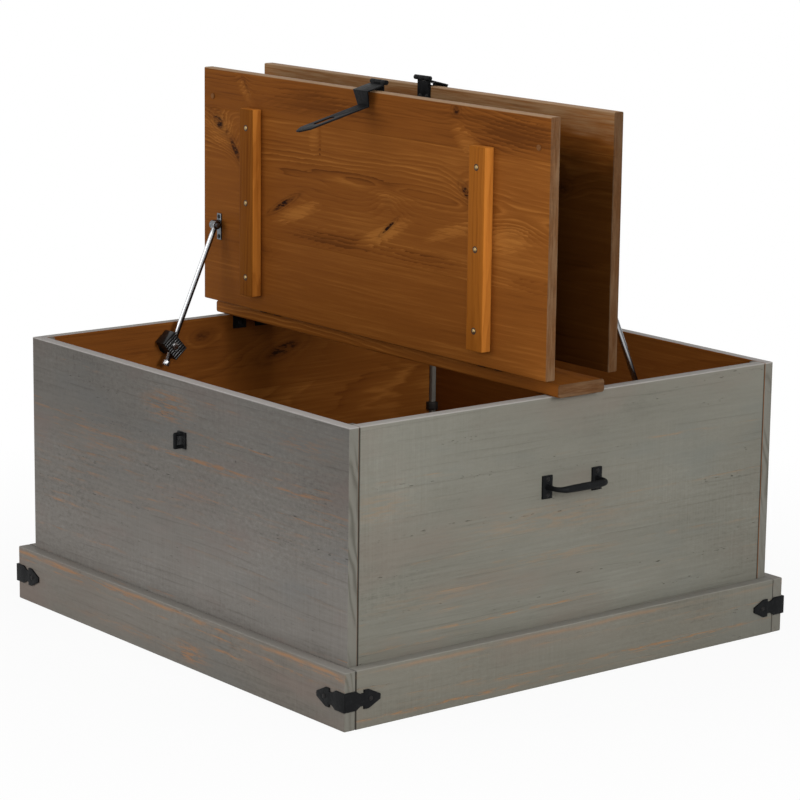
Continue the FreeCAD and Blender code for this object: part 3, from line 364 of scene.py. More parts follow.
# how each board took the wash: coarse grain, calm upper part, loose orange lines and a tint of its own,
# and the plain board for what it leaves out; a wall's entry also gives the share of a painted highlight
# on its top edge, and how much darker it grows towards its top
# rubs: along, up, half length, half height, strength
# ghosts, knots that show faintly through the wash: along, up, half length, half height
# knots of the inner face: along, across, size, lean, stretch, darkness
washed = {
    "front_wall": {
        "coarse": 0.85, "loose": 0.8, "tint": (1.03, 1.02, 1.065), "topShade": 0.36, "topShare": 0.83,
        "rubs": [
            (-0.031, 0.356, 0.042, 0.017, 1.6), (0.285, 0.357, 0.06, 0.012, 0.5),
            (-0.194, 0.28, 0.08, 0.024, 0.25), (0.05, 0.291, 0.165, 0.0022, 1.4),
            (0.275, 0.291, 0.045, 0.002, 1.0), (0.01, 0.2, 0.13, 0.0018, 0.7),
            (0.142, 0.33, 0.13, 0.0018, 0.9), (0.095, 0.242, 0.095, 0.0018, 0.8),
            (-0.3, 0.166, 0.04, 0.002, 0.9), (-0.207, 0.123, 0.05, 0.002, 1.0),
        ],
        "knots": [
            (0.1, 0.3, 0.011, 0.15, 0.3, 0.7), (-0.23, 0.19, 0.01, -0.1, 0.2, 0.6),
            (0.28, 0.24, 0.009, 0.0, 0.4, 0.6),
        ],
    },
    "back_wall": {
        "coarse": 0.75, "tint": (1.03, 1.02, 1.065), "topShade": 0.15, "topShare": 0.83,
        "rubs": [
            (0.12, 0.3, 0.07, 0.014, 0.7), (-0.18, 0.24, 0.12, 0.0022, 0.9),
            (0.05, 0.15, 0.15, 0.002, 0.7), (-0.27, 0.35, 0.05, 0.012, 0.4),
        ],
        "knots": [
            (-0.17, 0.33, 0.011, -0.15, 0.2, 0.7), (0.05, 0.22, 0.01, 0.2, 0.3, 0.6),
            (0.26, 0.29, 0.009, 0.1, 0.4, 0.6),
        ],
    },
    "left_wall": {
        "coarse": 0.4, "calm": 0.7, "loose": 0.7, "tint": (1.0, 1.03, 0.99),
        "topShade": 0.06, "topShare": 0.63,
        "rubs": [
            (0.06, 0.21, 0.12, 0.016, 0.4), (-0.2, 0.32, 0.06, 0.0022, 0.7),
            (0.15, 0.12, 0.16, 0.0022, 0.7),
        ],
        "knots": [
            (-0.0907, 0.3704, 0.009, 0.1, 0.3, 0.6), (0.0628, 0.3332, 0.012, 0.25, 0.1, 0.75),
            (-0.25, 0.21, 0.01, 0.1, 0.3, 0.6), (0.22, 0.17, 0.011, -0.2, 0.2, 0.7),
        ],
    },
    "right_wall": {
        "coarse": 0.34, "calm": 0.7, "loose": 0.7, "tint": (1.0, 1.03, 0.99),
        "topShade": 0.0, "topShare": 0.63,
        "rubs": [
            (-0.04, 0.226, 0.14, 0.018, 0.32), (-0.331, 0.287, 0.05, 0.018, 0.32),
            (-0.04, 0.172, 0.1, 0.006, 0.35), (-0.085, 0.107, 0.15, 0.002, 1.2),
            (0.2, 0.318, 0.06, 0.0018, 0.6), (-0.24, 0.15, 0.11, 0.012, 0.2),
            (-0.29, 0.095, 0.08, 0.003, 0.6),
        ],
        "knots": [
            (0.13, 0.31, 0.01, 0.1, 0.3, 0.6), (-0.2, 0.24, 0.012, -0.2, 0.2, 0.7),
            (0.27, 0.16, 0.009, 0.0, 0.4, 0.6),
        ],
    },
    "front_plinth": {
        "coarse": 0.8, "tint": (0.97, 0.945, 0.95),
        "rubs": [
            (0.049, 0.024, 0.03, 0.012, 1.4), (0.137, 0.0435, 0.038, 0.0022, 1.4),
            (-0.1, 0.02, 0.13, 0.006, 0.45),
        ],
        "ghosts": [(0.133, 0.06, 0.013, 0.012)],
    },
    "back_plinth": {
        "coarse": 0.7, "tint": (0.97, 0.945, 0.95),
        "rubs": [(-0.08, 0.03, 0.04, 0.01, 0.8), (0.16, 0.042, 0.06, 0.0022, 0.9)],
        "ghosts": [(0.25, 0.045, 0.013, 0.011)],
    },
    "left_plinth": {
        "coarse": 0.45, "loose": 0.9, "tint": (0.96, 0.965, 0.915),
        "rubs": [(0.12, 0.016, 0.12, 0.0024, 0.7), (-0.15, 0.04, 0.04, 0.008, 0.5)],
    },
    "right_plinth": {
        "coarse": 0.4, "loose": 0.9, "tint": (0.96, 0.965, 0.915),
        "rubs": [
            (-0.2, 0.01, 0.15, 0.0024, 1.2), (-0.12, 0.024, 0.06, 0.0022, 0.8),
            (0.17, 0.024, 0.17, 0.002, 1.3),
        ],
    },
    "corner_strips": {"coarse": 1.0, "shade": 0.85, "relief": 0.0005},
}
plainBoard = {"calm": 0.0, "loose": 1.4, "topShade": 0.0, "rubs": [], "ghosts": []}


def greyWash(bench, along, across, depth, seed, board):
    a = along + seed

    def look(key):
        return bench.weave((a, across, depth), **washNoise[key])

    coarse, calm = board["coarse"], board["calm"]
    bold = 0.4 + 0.6 * coarse
    cloud = look("cloud")
    fibre = look("fibre")
    speck = look("speck")
    # upright saw marks and raspy ground, in some places only
    comb = look("comb")
    sawn = look("sawn").step(0.42, 0.62)
    raspy = look("raspy").step(0.36, 0.62) * 0.8 + 0.35
    # a calm board is smoother towards its top
    lively = across.step(0.16, 0.34) * -calm + (1.0 + calm * 0.8)
    tone = (cloud - 0.5) * 0.9 + (fibre - 0.5) * lively * (0.75 * bold) + (comb - 0.5) * sawn * 0.4 + 0.5
    tone = tone + (speck - 0.5) * raspy * lively * (1.3 * coarse)
    colour = bench.blend(tone.step(*wash["toMiddle"]), wash["dark"], wash["middle"])
    colour = bench.blend(tone.step(*wash["toLight"]), colour, wash["light"])
    rosy = look("rosy")
    colour = bench.blend(rosy.step(0.5, 0.7) * (0.65 * bold), colour, wash["rose"])
    for spotAlong, spotUp, halfLong, halfTall in board["ghosts"]:
        dx = (along - spotAlong) / halfLong
        dy = (across - spotUp) / halfTall
        far = (dx * dx + dy * dy).calc("SQRT") + (speck - 0.5) * 0.9 + (cloud - 0.5) * 2.0
        colour = bench.blend((1.0 - far.step(0.4, 1.3)) * 0.45, colour, wash["cool"])
        colour = bench.blend(abs(far - 1.05).fall(5.0) * 0.28, colour, wash["grain"])
    colour = bench.blend((1.0 - rosy.step(0.3, 0.46)) * 0.4, colour, wash["cool"])
    # thin grain lines, each with its own strength and its own runs and gaps
    flow = look("flow")
    level = (across + depth + (flow - 0.5) * 0.05) * wash["lines"]
    which = bench.random(level.calc("FLOOR") + seed)
    ring = level.calc("FRACT")
    runs = bench.weave((a, which, 0.0), **washNoise["runs"]).step(0.48, 0.58)
    lineEnd = 1.0 - ring.step(0.95, 1.0)
    grain = ring ** 7.0 * lineEnd * runs
    orange = which.step(0.56, 0.6)
    colour = bench.blend(grain * (1.0 - orange) * (0.5 * bold), colour, wash["grain"])
    # places where the wood shows through
    chips = look("chips").step(0.45, 0.6)
    bare = ring ** 3.5 * lineEnd * runs * orange * (board["loose"] * bold)
    for rubAlong, rubUp, halfLong, halfTall, strength in board["rubs"]:
        dx = (along - rubAlong) / halfLong
        dy = (across + (flow - 0.5) * 0.012 - rubUp) / halfTall
        bare = bare + (dx * dx + dy * dy).fall(1.0) * strength * 0.9
    rub = (bare * chips).calc("MINIMUM", 0.75)
    colour = bench.blend(rub, colour, wash["rub"])
    ticks = look("ticks").step(0.64, 0.71)
    mark = ticks * look("tickRows").step(0.57, 0.68)
    colour = bench.blend(mark * 0.8, colour, wash["tick"])
    height = fibre * 0.5 + comb * sawn * 0.15 + speck * raspy * 0.4 - grain * 0.4 - mark * 0.9 - rub * 0.4
    roughness = fibre * wash["roughSpread"] + wash["rough"] - wash["roughSpread"] / 2 - rub * 0.1
    return colour, roughness, height


def endGrain(bench, colour, mask, across, depth):
    # growth rings cut across at the ends of the boards
    bow = bench.weave((across, depth, 0.0), **washNoise["endBow"])
    rings = ((across * 60.0 + depth * 240.0 + bow * 12.0) * 2.0).calc("SINE") * 0.5 + 0.5
    shown = bench.weave((across, depth, 0.0), **washNoise["endShown"]).step(0.4, 0.62)
    tone = bench.blend(rings ** 2.0 * (shown * 0.75 + 0.15), wash["endPale"], wash["endDark"])
    return bench.blend(mask * wash["endShare"], colour, tone)


# carcass sizes in metres, and the bands over which a finish changes near an edge
carcass = {
    "half": 0.382, "inside": 0.366, "top": 0.398, "skirt": 0.08, "skirtHalf": 0.4,
    "endBand": (-0.0008, -0.0004), "jointBand": (-0.0026, -0.0012), "innerBand": (0.0006, 0.0011),
    "rimBand": (-0.0022, -0.0006), "skirtRimBand": (-0.0018, -0.0004), "outerBand": (-0.004, -0.001),
    "plank": 0.118, "firstSeam": 0.04, "wallRelief": 0.0007, "skirtRelief": 0.0006,
    "chafeLevel": 0.073, "chafeWidth": 0.0026, "chafeWaver": 0.008,
}


def washedBoard(node, seed, half, joint):
    bench = Bench("finish_" + node)
    board = {**plainBoard, **washed[node]}
    lengthwise = node.startswith(("front", "back"))
    along, depth = (bench.x, bench.y) if lengthwise else (bench.y, bench.x)
    colour, roughness, height = greyWash(bench, along, bench.z, depth, seed, board)
    colour = bench.tint(colour, board["tint"])
    colour = bench.shade(colour, 1.0 - bench.z.step(*wash["shadeBand"]) * board["topShade"])
    # a through board shows its end grain, a board between two others a dark joint
    if lengthwise:
        colour = endGrain(bench, colour, abs(along).beyond(half, carcass["endBand"]), bench.z, depth)
    else:
        dark = abs(along).beyond(joint, carcass["jointBand"])
        colour = bench.blend(dark * wash["jointShare"], colour, wash["joint"])
    return bench, board, along, depth, colour, roughness, height


def wallFinish(node, seed):
    started = washedBoard(node, seed, carcass["half"], carcass["inside"])
    bench, board, along, depth, colour, roughness, height = started
    # a painted highlight along the top edge
    rim = bench.z.beyond(carcass["top"], carcass["rimBand"])
    colour = bench.blend(rim * board["topShare"], colour, wash["topRim"])
    planks = (carcass["plank"], carcass["firstSeam"])
    pine = pineGrain(bench, along, bench.z, depth, *planks, board["knots"], seed * 3.7)
    inner = 1.0 - abs(depth).beyond(carcass["inside"], carcass["innerBand"])
    colour = bench.blend(inner, colour, pine[0])
    roughness = roughness + (pine[1] - roughness) * inner
    height = height + (pine[2] - height) * inner
    return bench.finish(colour, roughness, height, carcass["wallRelief"], wash["gloss"])


def plinthFinish(node, seed):
    started = washedBoard(node, seed, carcass["skirtHalf"], carcass["half"])
    bench, board, along, depth, colour, roughness, height = started
    # a chafed line just under the upper edge
    chafe = bench.weave((along, bench.z, depth), shift=seed, **washNoise["chafe"])
    waver = bench.weave((along, seed, 0.0), **washNoise["waver"])
    under = bench.z + (waver - 0.5) * carcass["chafeWaver"] - carcass["chafeLevel"]
    under = under / carcass["chafeWidth"]
    edge = (under * under).fall(1.0) * chafe.step(0.4, 0.58)
    outer = abs(depth).beyond(carcass["skirtHalf"], carcass["outerBand"])
    colour = bench.blend(edge * outer * board["coarse"], colour, wash["rub"])
    # a painted highlight along the top edge
    rim = bench.z.beyond(carcass["skirt"], carcass["skirtRimBand"])
    colour = bench.blend(rim * wash["skirtRimShare"], colour, wash["rim"])
    return bench.finish(colour, roughness, height, carcass["skirtRelief"], wash["gloss"])


def stripFinish(name, seed):
    bench = Bench(name)
    board = {**plainBoard, **washed["corner_strips"]}
    place = (bench.z, bench.x + bench.y, bench.x - bench.y)
    colour, roughness, height = greyWash(bench, *place, seed, board)
    colour = bench.shade(colour, board["shade"])
    return bench.finish(colour, roughness, height, board["relief"], wash["gloss"])


# knots: along, across, size, lean, stretch, darkness
# fans: along, across, half length, half height, lean, strength (pale above zero, dark below)
# tones: each seam, and the tone of the boards above it
lids = {
    "half": 0.398, "outer": 0.048, "high": 0.777, "plank": 0.18, "seam": 0.357,
    "outerBand": (0.0004, 0.0012), "edgeBand": (-0.0022, -0.0006), "chafedBand": (-0.05, -0.01),
    "darkBand": (0.68, 0.75), "darkShare": 0.74, "drift": 0.11,
    "brightBand": (0.02, 0.36), "brightShare": 0.14,
    "front": {
        "knots": [
            (-0.361, 0.698, 0.012, -0.4, 0.5, 0.8), (-0.316, 0.659, 0.01, -1.0, 0.35, 0.75),
            (-0.194, 0.592, 0.0052, 0.48, 0.03, 1.0), (0.054, 0.622, 0.011, 0.0, 0.6, 0.14),
            (0.056, 0.589, 0.0036, 0.72, 0.05, 1.0), (0.226, 0.657, 0.0085, -0.6, 0.4, 0.85),
            (0.201, 0.768, 0.0075, 0.0, 0.8, 0.74), (-0.287, 0.755, 0.0055, -1.2, 0.3, 0.5),
            (-0.24, 0.517, 0.01, -0.3, 0.5, 0.22), (0.328, 0.617, 0.013, 0.0, 0.3, 0.12),
        ],
        "fans": [
            (-0.16, 0.583, 0.056, 0.014, 0.33, 0.46), (0.043, 0.577, 0.066, 0.013, 0.4, 0.42),
            (0.054, 0.622, 0.026, 0.016, 0.0, 0.24), (-0.122, 0.696, 0.012, 0.03, 0.0, 0.15),
            (-0.106, 0.692, 0.004, 0.026, 0.0, -0.24), (-0.29, 0.748, 0.024, 0.014, -0.8, 0.34),
            (0.225, 0.728, 0.034, 0.018, -0.4, 0.46), (0.31, 0.604, 0.06, 0.02, 0.1, 0.3),
            (0.19, 0.598, 0.06, 0.012, 0.3, 0.38), (-0.352, 0.688, 0.032, 0.028, 0.0, 0.3),
            (-0.06, 0.556, 0.11, 0.016, 0.05, -0.26), (0.13, 0.553, 0.09, 0.013, 0.0, -0.24),
            (0.33, 0.748, 0.07, 0.022, 0.0, -0.18), (-0.12, 0.745, 0.14, 0.018, 0.0, -0.16),
            (0.37, 0.548, 0.05, 0.012, 0.0, -0.26), (-0.02, 0.65, 0.18, 0.01, -0.06, -0.12),
            (0.02, 0.638, 0.16, 0.007, -0.06, 0.18),
        ],
        "tones": [(0.537, -0.06), (0.717, -0.15)],
        "endShade": 0.0,
    },
    "back": {
        "knots": [
            (0.29, 0.66, 0.011, 0.3, 0.3, 0.6), (-0.12, 0.72, 0.009, -0.2, 0.4, 0.6),
            (-0.31, 0.55, 0.01, 0.1, 0.3, 0.7), (0.1, 0.5, 0.008, 0.25, 0.2, 0.8),
            (-0.02, 0.61, 0.004, 0.5, 0.03, 1.0),
        ],
        "fans": [],
        "tones": [],
        "endShade": 0.32,
    },
}


def lidFinish(name, lid, seed):
    bench = Bench(name)
    grain = (bench.x, bench.z, bench.y, lids["plank"], lids["seam"], lid["knots"], seed)
    colour, roughness, height = pineGrain(bench, *grain, fans=lid["fans"], tones=lid["tones"])
    # painted shade on the upper side of a shut lid, where the open lids shade each other, fading out towards
    # the free edge; the lid is also lighter towards its right end
    outer = 1.0 - abs(bench.y).beyond(lids["outer"], lids["outerBand"])
    drift = bench.weave((bench.x, bench.z, 0.0), **stainNoise["drift"])
    level = bench.z + (drift * lids["drift"] - lids["drift"] / 2)
    dark = outer * (1.0 - level.step(*lids["darkBand"]))
    colour = bench.shade(colour, 1.0 - dark * lids["darkShare"])
    colour = bench.shade(colour, bench.x.step(*lids["brightBand"]) * lids["brightShare"] + 1.0)
    # its edges are worn; a painted highlight runs along the free edge, and painted light, drawn as stain
    # chafed thin, lies on the upper side just below it
    ends = abs(bench.x).beyond(lids["half"], lids["edgeBand"])
    rim = bench.z.beyond(lids["high"], lids["edgeBand"])
    chafed = outer * level.beyond(lids["high"], lids["chafedBand"])
    thin = bench.weave((bench.x, bench.z, 0.0), **stainNoise["thin"])
    colour = bench.blend(chafed * (thin.step(0.34, 0.64) * 0.7 + 0.3), colour, stain["chafed"])
    colour = wornEdge(bench, colour, ends.calc("MAXIMUM", rim), (bench.x, bench.z, bench.y))
    colour = bench.blend(rim * (1.0 - ends) * (thin * 0.5 + 0.45), colour, stain["pale"])
    colour = bench.shade(colour, 1.0 - ends * lid["endShade"])
    return bench.finish(colour, roughness, height, stain["relief"], stain["gloss"])


battens = {
    "face": 0.081, "faceBand": (-0.0016, -0.0006), "plank": 0.6, "seam": -0.43, "lift": 0.36,
    "side": 1.67, "faceShade": 0.7, "leftShade": 0.36, "leftBand": (-0.05, 0.05),
    "sideTint": (1.0, 0.96, 0.8), "faceTint": (1.0, 0.86, 0.54),
}


def battenFinish(name, seed):
    # the sides lighter than the faces: painted light on the sides and painted shade on the faces; the left
    # batten darker
    bench = Bench(name)
    grain = (bench.z, bench.x, bench.y, battens["plank"], battens["seam"], [], seed, battens["lift"])
    colour, roughness, height = pineGrain(bench, *grain)
    face = abs(bench.y).beyond(battens["face"], battens["faceBand"])
    left = 1.0 - bench.x.step(*battens["leftBand"])
    darker = left * battens["leftShade"] + battens["faceShade"]
    colour = bench.shade(colour, battens["side"] - face * darker)
    sideColour, faceColour = (bench.tint(colour, battens[key]) for key in ("sideTint", "faceTint"))
    colour = bench.blend(face, sideColour, faceColour)
    return bench.finish(colour, roughness, height, stain["relief"], stain["gloss"])


# centre board, bottom and cleats: pine with its grain along x, the board worn at its ends
sticks = {
    "seam": -0.43, "tipBand": (-0.0035, -0.001), "tipShade": 0.16,
    "board": {
        "plank": 0.9, "ends": 0.399,
        "knots": [(0.12, 0.01, 0.009, 0.1, 0.3, 0.6), (-0.22, -0.02, 0.007, 0.0, 0.4, 0.5)],
    },
    "bottom": {
        "plank": 0.146, "ends": None,
        "knots": [(0.2, 0.1, 0.013, 0.1, 0.3, 0.7), (-0.15, -0.2, 0.012, 0.0, 0.3, 0.6)],
    },
    "cleat": {"plank": 0.9, "ends": None, "knots": []},
}


def stickFinish(name, stick, seed):
    bench = Bench(name)
    place = (bench.x, bench.y, bench.z)
    colour, roughness, height = pineGrain(bench, *place, stick["plank"], sticks["seam"], stick["knots"], seed)
    if stick["ends"]:
        tips = abs(bench.x).beyond(stick["ends"], sticks["tipBand"])
        colour = bench.shade(wornEdge(bench, colour, tips, place), 1.0 - tips * sticks["tipShade"])
    return bench.finish(colour, roughness, height, stain["relief"], stain["gloss"])


# metals, plastic and rubber
iron = {
    "base": (0.0054, 0.0057, 0.0062), "worn": (0.02, 0.021, 0.022), "scale": (0.014, 0.011, 0.009),
    "rough": 0.44, "gloss": 0.07, "relief": 0.0006, "ease": 0.0003,
}


def ironFinish(name, base=iron["base"], rough=iron["rough"]):
    bench = Bench(name)
    hammer = bench.noise(bench.place, scale=210.0, detail=2.0)
    scale = bench.noise(bench.place, scale=1400.0)
    worn = bench.noise(bench.place, scale=70.0, detail=4.0, rough=0.65)
    colour = bench.blend(worn.step(0.5, 0.78) * 0.6, base, iron["worn"])
    colour = bench.blend(scale.step(0.6, 0.8) * 0.35, colour, iron["scale"])
    roughness = worn * 0.22 + rough - 0.1 + scale * 0.08
    return bench.finish(colour, roughness, hammer * 0.8 + scale * 0.25, iron["relief"], iron["gloss"])


zinc = {"brush": (900.0, 900.0, 40.0), "bloom": 120.0, "roughSpread": 0.2, "relief": 0.0001}


def zincFinish(name, low, high, rough):
    bench = Bench(name)
    brush = bench.weave((bench.x, bench.y, bench.z), zinc["brush"])
    bloom = bench.noise(bench.place, scale=zinc["bloom"])
    colour = bench.blend(bloom, low, high)
    return bench.finish(colour, brush * zinc["roughSpread"] + rough, brush, zinc["relief"], metal=1.0)


# a stay's rod leans on its pivot (out, up), and the brake block is turned on the rod
stays = {
    "pivot": (0.0764, 0.5425), "lean": 24.33, "turn": 25.0, "radius": 0.004,
    # the darker colour paints a dark reflection on one flank of the rod, draws its streaks and darkens it
    # round its eye
    "bright": (0.46, 0.47, 0.48), "tarnish": (0.04, 0.043, 0.048),
    "streak": (700.0, 2.4, 9.0), "flankBand": (-0.62, 0.18), "eyeBand": (0.008, 0.018),
    "rough": 0.14, "roughSpread": 0.18, "relief": 0.0001,
}


def rodFinish(name):
    # drawn rod, streaked along its length: a painted dark reflection on one flank, and darker round its eye
    bench = Bench(name)
    lean = math.radians(stays["lean"])
    out = abs(bench.y) - stays["pivot"][0]
    up = bench.z - stays["pivot"][1]
    along = up * math.cos(lean) - out * math.sin(lean)
    flank = (out * math.cos(lean) + up * math.sin(lean)) * bench.y.calc("SIGN") / stays["radius"]
    streak = bench.weave((bench.x, flank, along), stays["streak"])
    eye = 1.0 - abs(along).step(*stays["eyeBand"])
    dark = flank.step(*stays["flankBand"]) * 0.85 + eye * 0.7 + (streak - 0.5) * 0.7
    colour = bench.blend(dark, stays["bright"], stays["tarnish"])
    roughness = streak * stays["roughSpread"] + stays["rough"]
    return bench.finish(colour, roughness, streak, stays["relief"], metal=1.0)


plastic = {"pebble": 1800.0, "dust": 160.0, "roughSpread": 0.15, "relief": 0.0002}


def plasticFinish(name, base, rough, ribs=0.0, gloss=0.3):
    bench = Bench(name)
    pebble = bench.noise(bench.place, scale=plastic["pebble"], detail=2.0)
    if ribs:
        # ribs along the housing, which sits askew on its rod
        tilt = math.radians(stays["lean"] + stays["turn"])
        down = abs(bench.y) * math.cos(tilt) + bench.z * math.sin(tilt)
        pebble = pebble * 0.2 + (down * (2 * math.pi / ribs)).calc("SINE") * 2.0
    dust = bench.noise(bench.place, scale=plastic["dust"])
    dusty = tuple(value * 1.4 + 0.006 for value in base)
    colour = bench.blend(dust.step(0.45, 0.8) * 0.5, base, dusty)
    return bench.finish(colour, pebble * plastic["roughSpread"] + rough, pebble, plastic["relief"], gloss)


finishes = {
    "iron": ironFinish("blackIron"),
    "zinc": zincFinish("brightZinc", (0.3, 0.3, 0.305), (0.5, 0.5, 0.5), 0.16),
    "rod": rodFinish("drawnRod"),
    "bracket": zincFinish("bracketSteel", (0.05, 0.057, 0.066), (0.2, 0.22, 0.24), 0.28),
    "brassy": zincFinish("yellowZinc", (0.2, 0.135, 0.06), (0.34, 0.24, 0.11), 0.3),
    # the dark finishes of screw holes and slots are painted shade, for the shade in the countersunk hole
    # round a head and in its cross slots
    "hole": plasticFinish("screwHole", (0.03, 0.013, 0.006), 0.6),
    "block": plasticFinish("brakeBlockPlastic", (0.008, 0.008, 0.0082), 0.36, ribs=0.0042),
    "connector": plasticFinish("connectorPlastic", (0.014, 0.012, 0.01), 0.42),
    "rubber": plasticFinish("bumperRubber", (0.165, 0.068, 0.021), 0.6, gloss=0.08),
    "blackScrew": ironFinish("blackScrew", (0.016, 0.015, 0.0145), 0.38),
    "recess": plasticFinish("screwRecess", (0.004, 0.004, 0.004), 0.6),
    "strip": stripFinish("stripWash", 8.3),
    "board": stickFinish("boardPine", sticks["board"], 2.2),
    "batten": battenFinish("battenPine", 5.1),
    "bottom": stickFinish("bottomPine", sticks["bottom"], 7.4),
    "cleat": stickFinish("cleatPine", sticks["cleat"], 9.9),
    "front_lid_panel": lidFinish("frontLidPine", lids["front"], 0.6),
    "back_lid_panel": lidFinish("backLidPine", lids["back"], 3.4),
}
for index, side in enumerate(("front", "back", "left", "right")):
    finishes[side + "_wall"] = wallFinish(side + "_wall", 1.3 + index * 2.1)
    finishes[side + "_plinth"] = plinthFinish(side + "_plinth", 11.7 + index * 1.9)
print("finishes made:", len(finishes))

# eased copies of the CAD solids: the merge in metres, the angles in degrees
easing = {"merge": 2e-6, "flat": 0.6, "sharp": 40.0, "smooth": 38.0, "profile": 0.5}


def smoothShade(mesh, angle):
    for face in mesh.polygons:
        face.use_smooth = True
    mesh.set_sharp_from_angle(angle=math.radians(angle))


def placed(name, data):
    thing = bpy.data.objects.new(name, data)
    scene.collection.objects.link(thing)
    return thing


def standIn(node, mesh):
    # the mesh takes the place of a CAD solid
    piece = placed(mesh.name, mesh)
    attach(piece, bodyOf[node])
    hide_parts(node)


def easedCopy(node, finish, ease, segments=2):
    copy = bmesh.new()
    copy.from_mesh(nodes[node].data)
    bmesh.ops.remove_doubles(copy, verts=copy.verts, dist=easing["merge"])
    flat, sharp = (math.radians(easing[key]) for key in ("flat", "sharp"))
    bmesh.ops.dissolve_limit(copy, angle_limit=flat, verts=copy.verts, edges=copy.edges)
    edges = [edge for edge in copy.edges if len(edge.link_faces) == 2 and edge.calc_face_angle(0.0) > sharp]
    bmesh.ops.bevel(
        copy, geom=edges, offset=ease, offset_type="OFFSET", segments=segments, profile=easing["profile"],
        affect="EDGES", clamp_overlap=True,
    )
    bmesh.ops.triangulate(copy, faces=[face for face in copy.faces if len(face.verts) > 4])
    mesh = bpy.data.meshes.new(node + "_eased")
    copy.to_mesh(mesh)
    copy.free()
    smoothShade(mesh, easing["smooth"])
    mesh.materials.append(finish)
    standIn(node, mesh)


# large boards: ease
boards = {
    "front_wall": 0.0012, "back_wall": 0.0012, "left_wall": 0.0006, "right_wall": 0.0006,
    "front_plinth": 0.0018, "back_plinth": 0.0018, "left_plinth": 0.0012, "right_plinth": 0.0012,
    "front_lid_panel": 0.0018, "back_lid_panel": 0.0018,
}
for node, ease in boards.items():
    easedCopy(node, finishes[node], ease, segments=3)
# smaller pieces of the carcass and lids: finish, ease
smallBoards = {
    "centre_board": ("board", 0.0014), "front_lid_battens": ("batten", 0.0014),
    "back_lid_battens": ("batten", 0.0014), "bottom_panel": ("bottom", 0.0008),
    "bottom_cleats": ("cleat", 0.001), "corner_strips": ("strip", 0.001),
    "corner_connectors": ("connector", 0.0012),
}
for node, (finish, ease) in smallBoards.items():
    easedCopy(node, finishes[finish], ease)
print("boards eased")

# pieces of each lid's stay, and its bumpers: finish, ease
stayPieces = {
    "stay_bracket": ("bracket", 0.0003), "stay_pin": ("bracket", 0.0002), "stay_rod": ("rod", 0.0003),
    "stay_stop": ("zinc", 0.0006), "stay_block": ("block", 0.0012), "stay_brake_screw": ("zinc", 0.0004),
    "lid_bumpers": ("rubber", 0.0005),
}
ironwork = [
    "board_brackets", "corner_irons", "left_handle_plates", "right_handle_plates", "front_staple",
    "back_staple", "hinge_board_leaves", "hinge_pins", "stay_wall_plates",
]
for side in ("front_", "back_"):
    ironwork += [side + name for name in ("lid_hinge_leaves", "hasp_leaf", "hasp_pin", "hasp_strap")]
    for name, (finish, ease) in stayPieces.items():
        easedCopy(side + name, finishes[finish], ease)
for node in ironwork:
    easedCopy(node, finishes["iron"], iron["ease"])
print("ironwork eased")


def newTree(name, sockets):
    # an empty Geometry Nodes tree with named inputs
    tree = bpy.data.node_groups.new(name, "GeometryNodeTree")
    tree.interface.new_socket("Geometry", in_out="INPUT", socket_type="NodeSocketGeometry")
    for socket, kind in sockets.items():
        tree.interface.new_socket(socket, in_out="INPUT", socket_type=kind)
    tree.interface.new_socket("Geometry", in_out="OUTPUT", socket_type="NodeSocketGeometry")
    return tree, addNode(tree, "NodeGroupInput").outputs


def grow(name, source, tree, values):
    # runs a tree on a path or on points and keeps the result as a plain mesh
    maker = placed(name + "_maker", source)
    modifier = maker.modifiers.new(tree.name, "NODES")
    modifier.node_group = tree
    sockets = {item.name: item.identifier for item in tree.interface.items_tree if item.in_out == "INPUT"}
    for key, value in values.items():
        modifier[sockets[key]] = value
    graph = bpy.context.evaluated_depsgraph_get()
    mesh = bpy.data.meshes.new_from_object(maker.evaluated_get(graph))
    bpy.data.objects.remove(maker)
    mesh.name = name
    return mesh


# forged handle bows, swept along a path
bow = {
    "face": 0.385, "reach": 0.0252, "span": 0.09, "level": 0.274, "bend": 0.014, "bendSteps": 8,
    "thick": 0.0052, "sides": 14, "rings": 90, "smooth": 50.0,
    # place along the bow, share of its thickness
    "swell": [
        (0.0, 0.9), (0.06, 0.7), (0.14, 0.66), (0.26, 0.9), (0.5, 1.0),
        (0.74, 0.9), (0.86, 0.66), (0.94, 0.7), (1.0, 0.9),
    ],
}


def bowTree():
    tree, given = newTree("forgedBow", {
        "Thickness": "NodeSocketFloat", "Sides": "NodeSocketInt", "Rings": "NodeSocketInt",
        "Finish": "NodeSocketMaterial",
    })
    inputs = {"Curve": given["Geometry"], "Count": given["Rings"]}
    even = addNode(tree, "GeometryNodeResampleCurve", {}, inputs)
    factor = addNode(tree, "GeometryNodeSplineParameter")
    swell = addNode(tree, "ShaderNodeFloatCurve", {}, {"Value": factor})
    curve = swell.mapping.curves[0]
    for place, value in bow["swell"][1:-1]:
        curve.points.new(place, value)
    for point, (place, value) in zip(curve.points, bow["swell"]):
        point.location = (place, value)
    swell.mapping.update()
    inputs = {0: swell, 1: given["Thickness"]}
    wide = addNode(tree, "ShaderNodeMath", {"operation": "MULTIPLY"}, inputs)
    sized = addNode(tree, "GeometryNodeSetCurveRadius", {}, {"Curve": even, "Radius": wide})
    inputs = {"Resolution": given["Sides"], "Radius": 1.0}
    ring = addNode(tree, "GeometryNodeCurvePrimitiveCircle", {}, inputs)
    inputs = {"Curve": sized, "Profile Curve": ring, "Scale": wide, "Fill Caps": True}
    sweep = addNode(tree, "GeometryNodeCurveToMesh", {}, inputs)
    real = addNode(tree, "GeometryNodeRealizeInstances", {}, {"Geometry": sweep})
    inputs = {"Geometry": real, "Material": given["Finish"]}
    painted = addNode(tree, "GeometryNodeSetMaterial", {}, inputs)
    addNode(tree, "NodeGroupOutput", {}, {0: painted})
    return tree


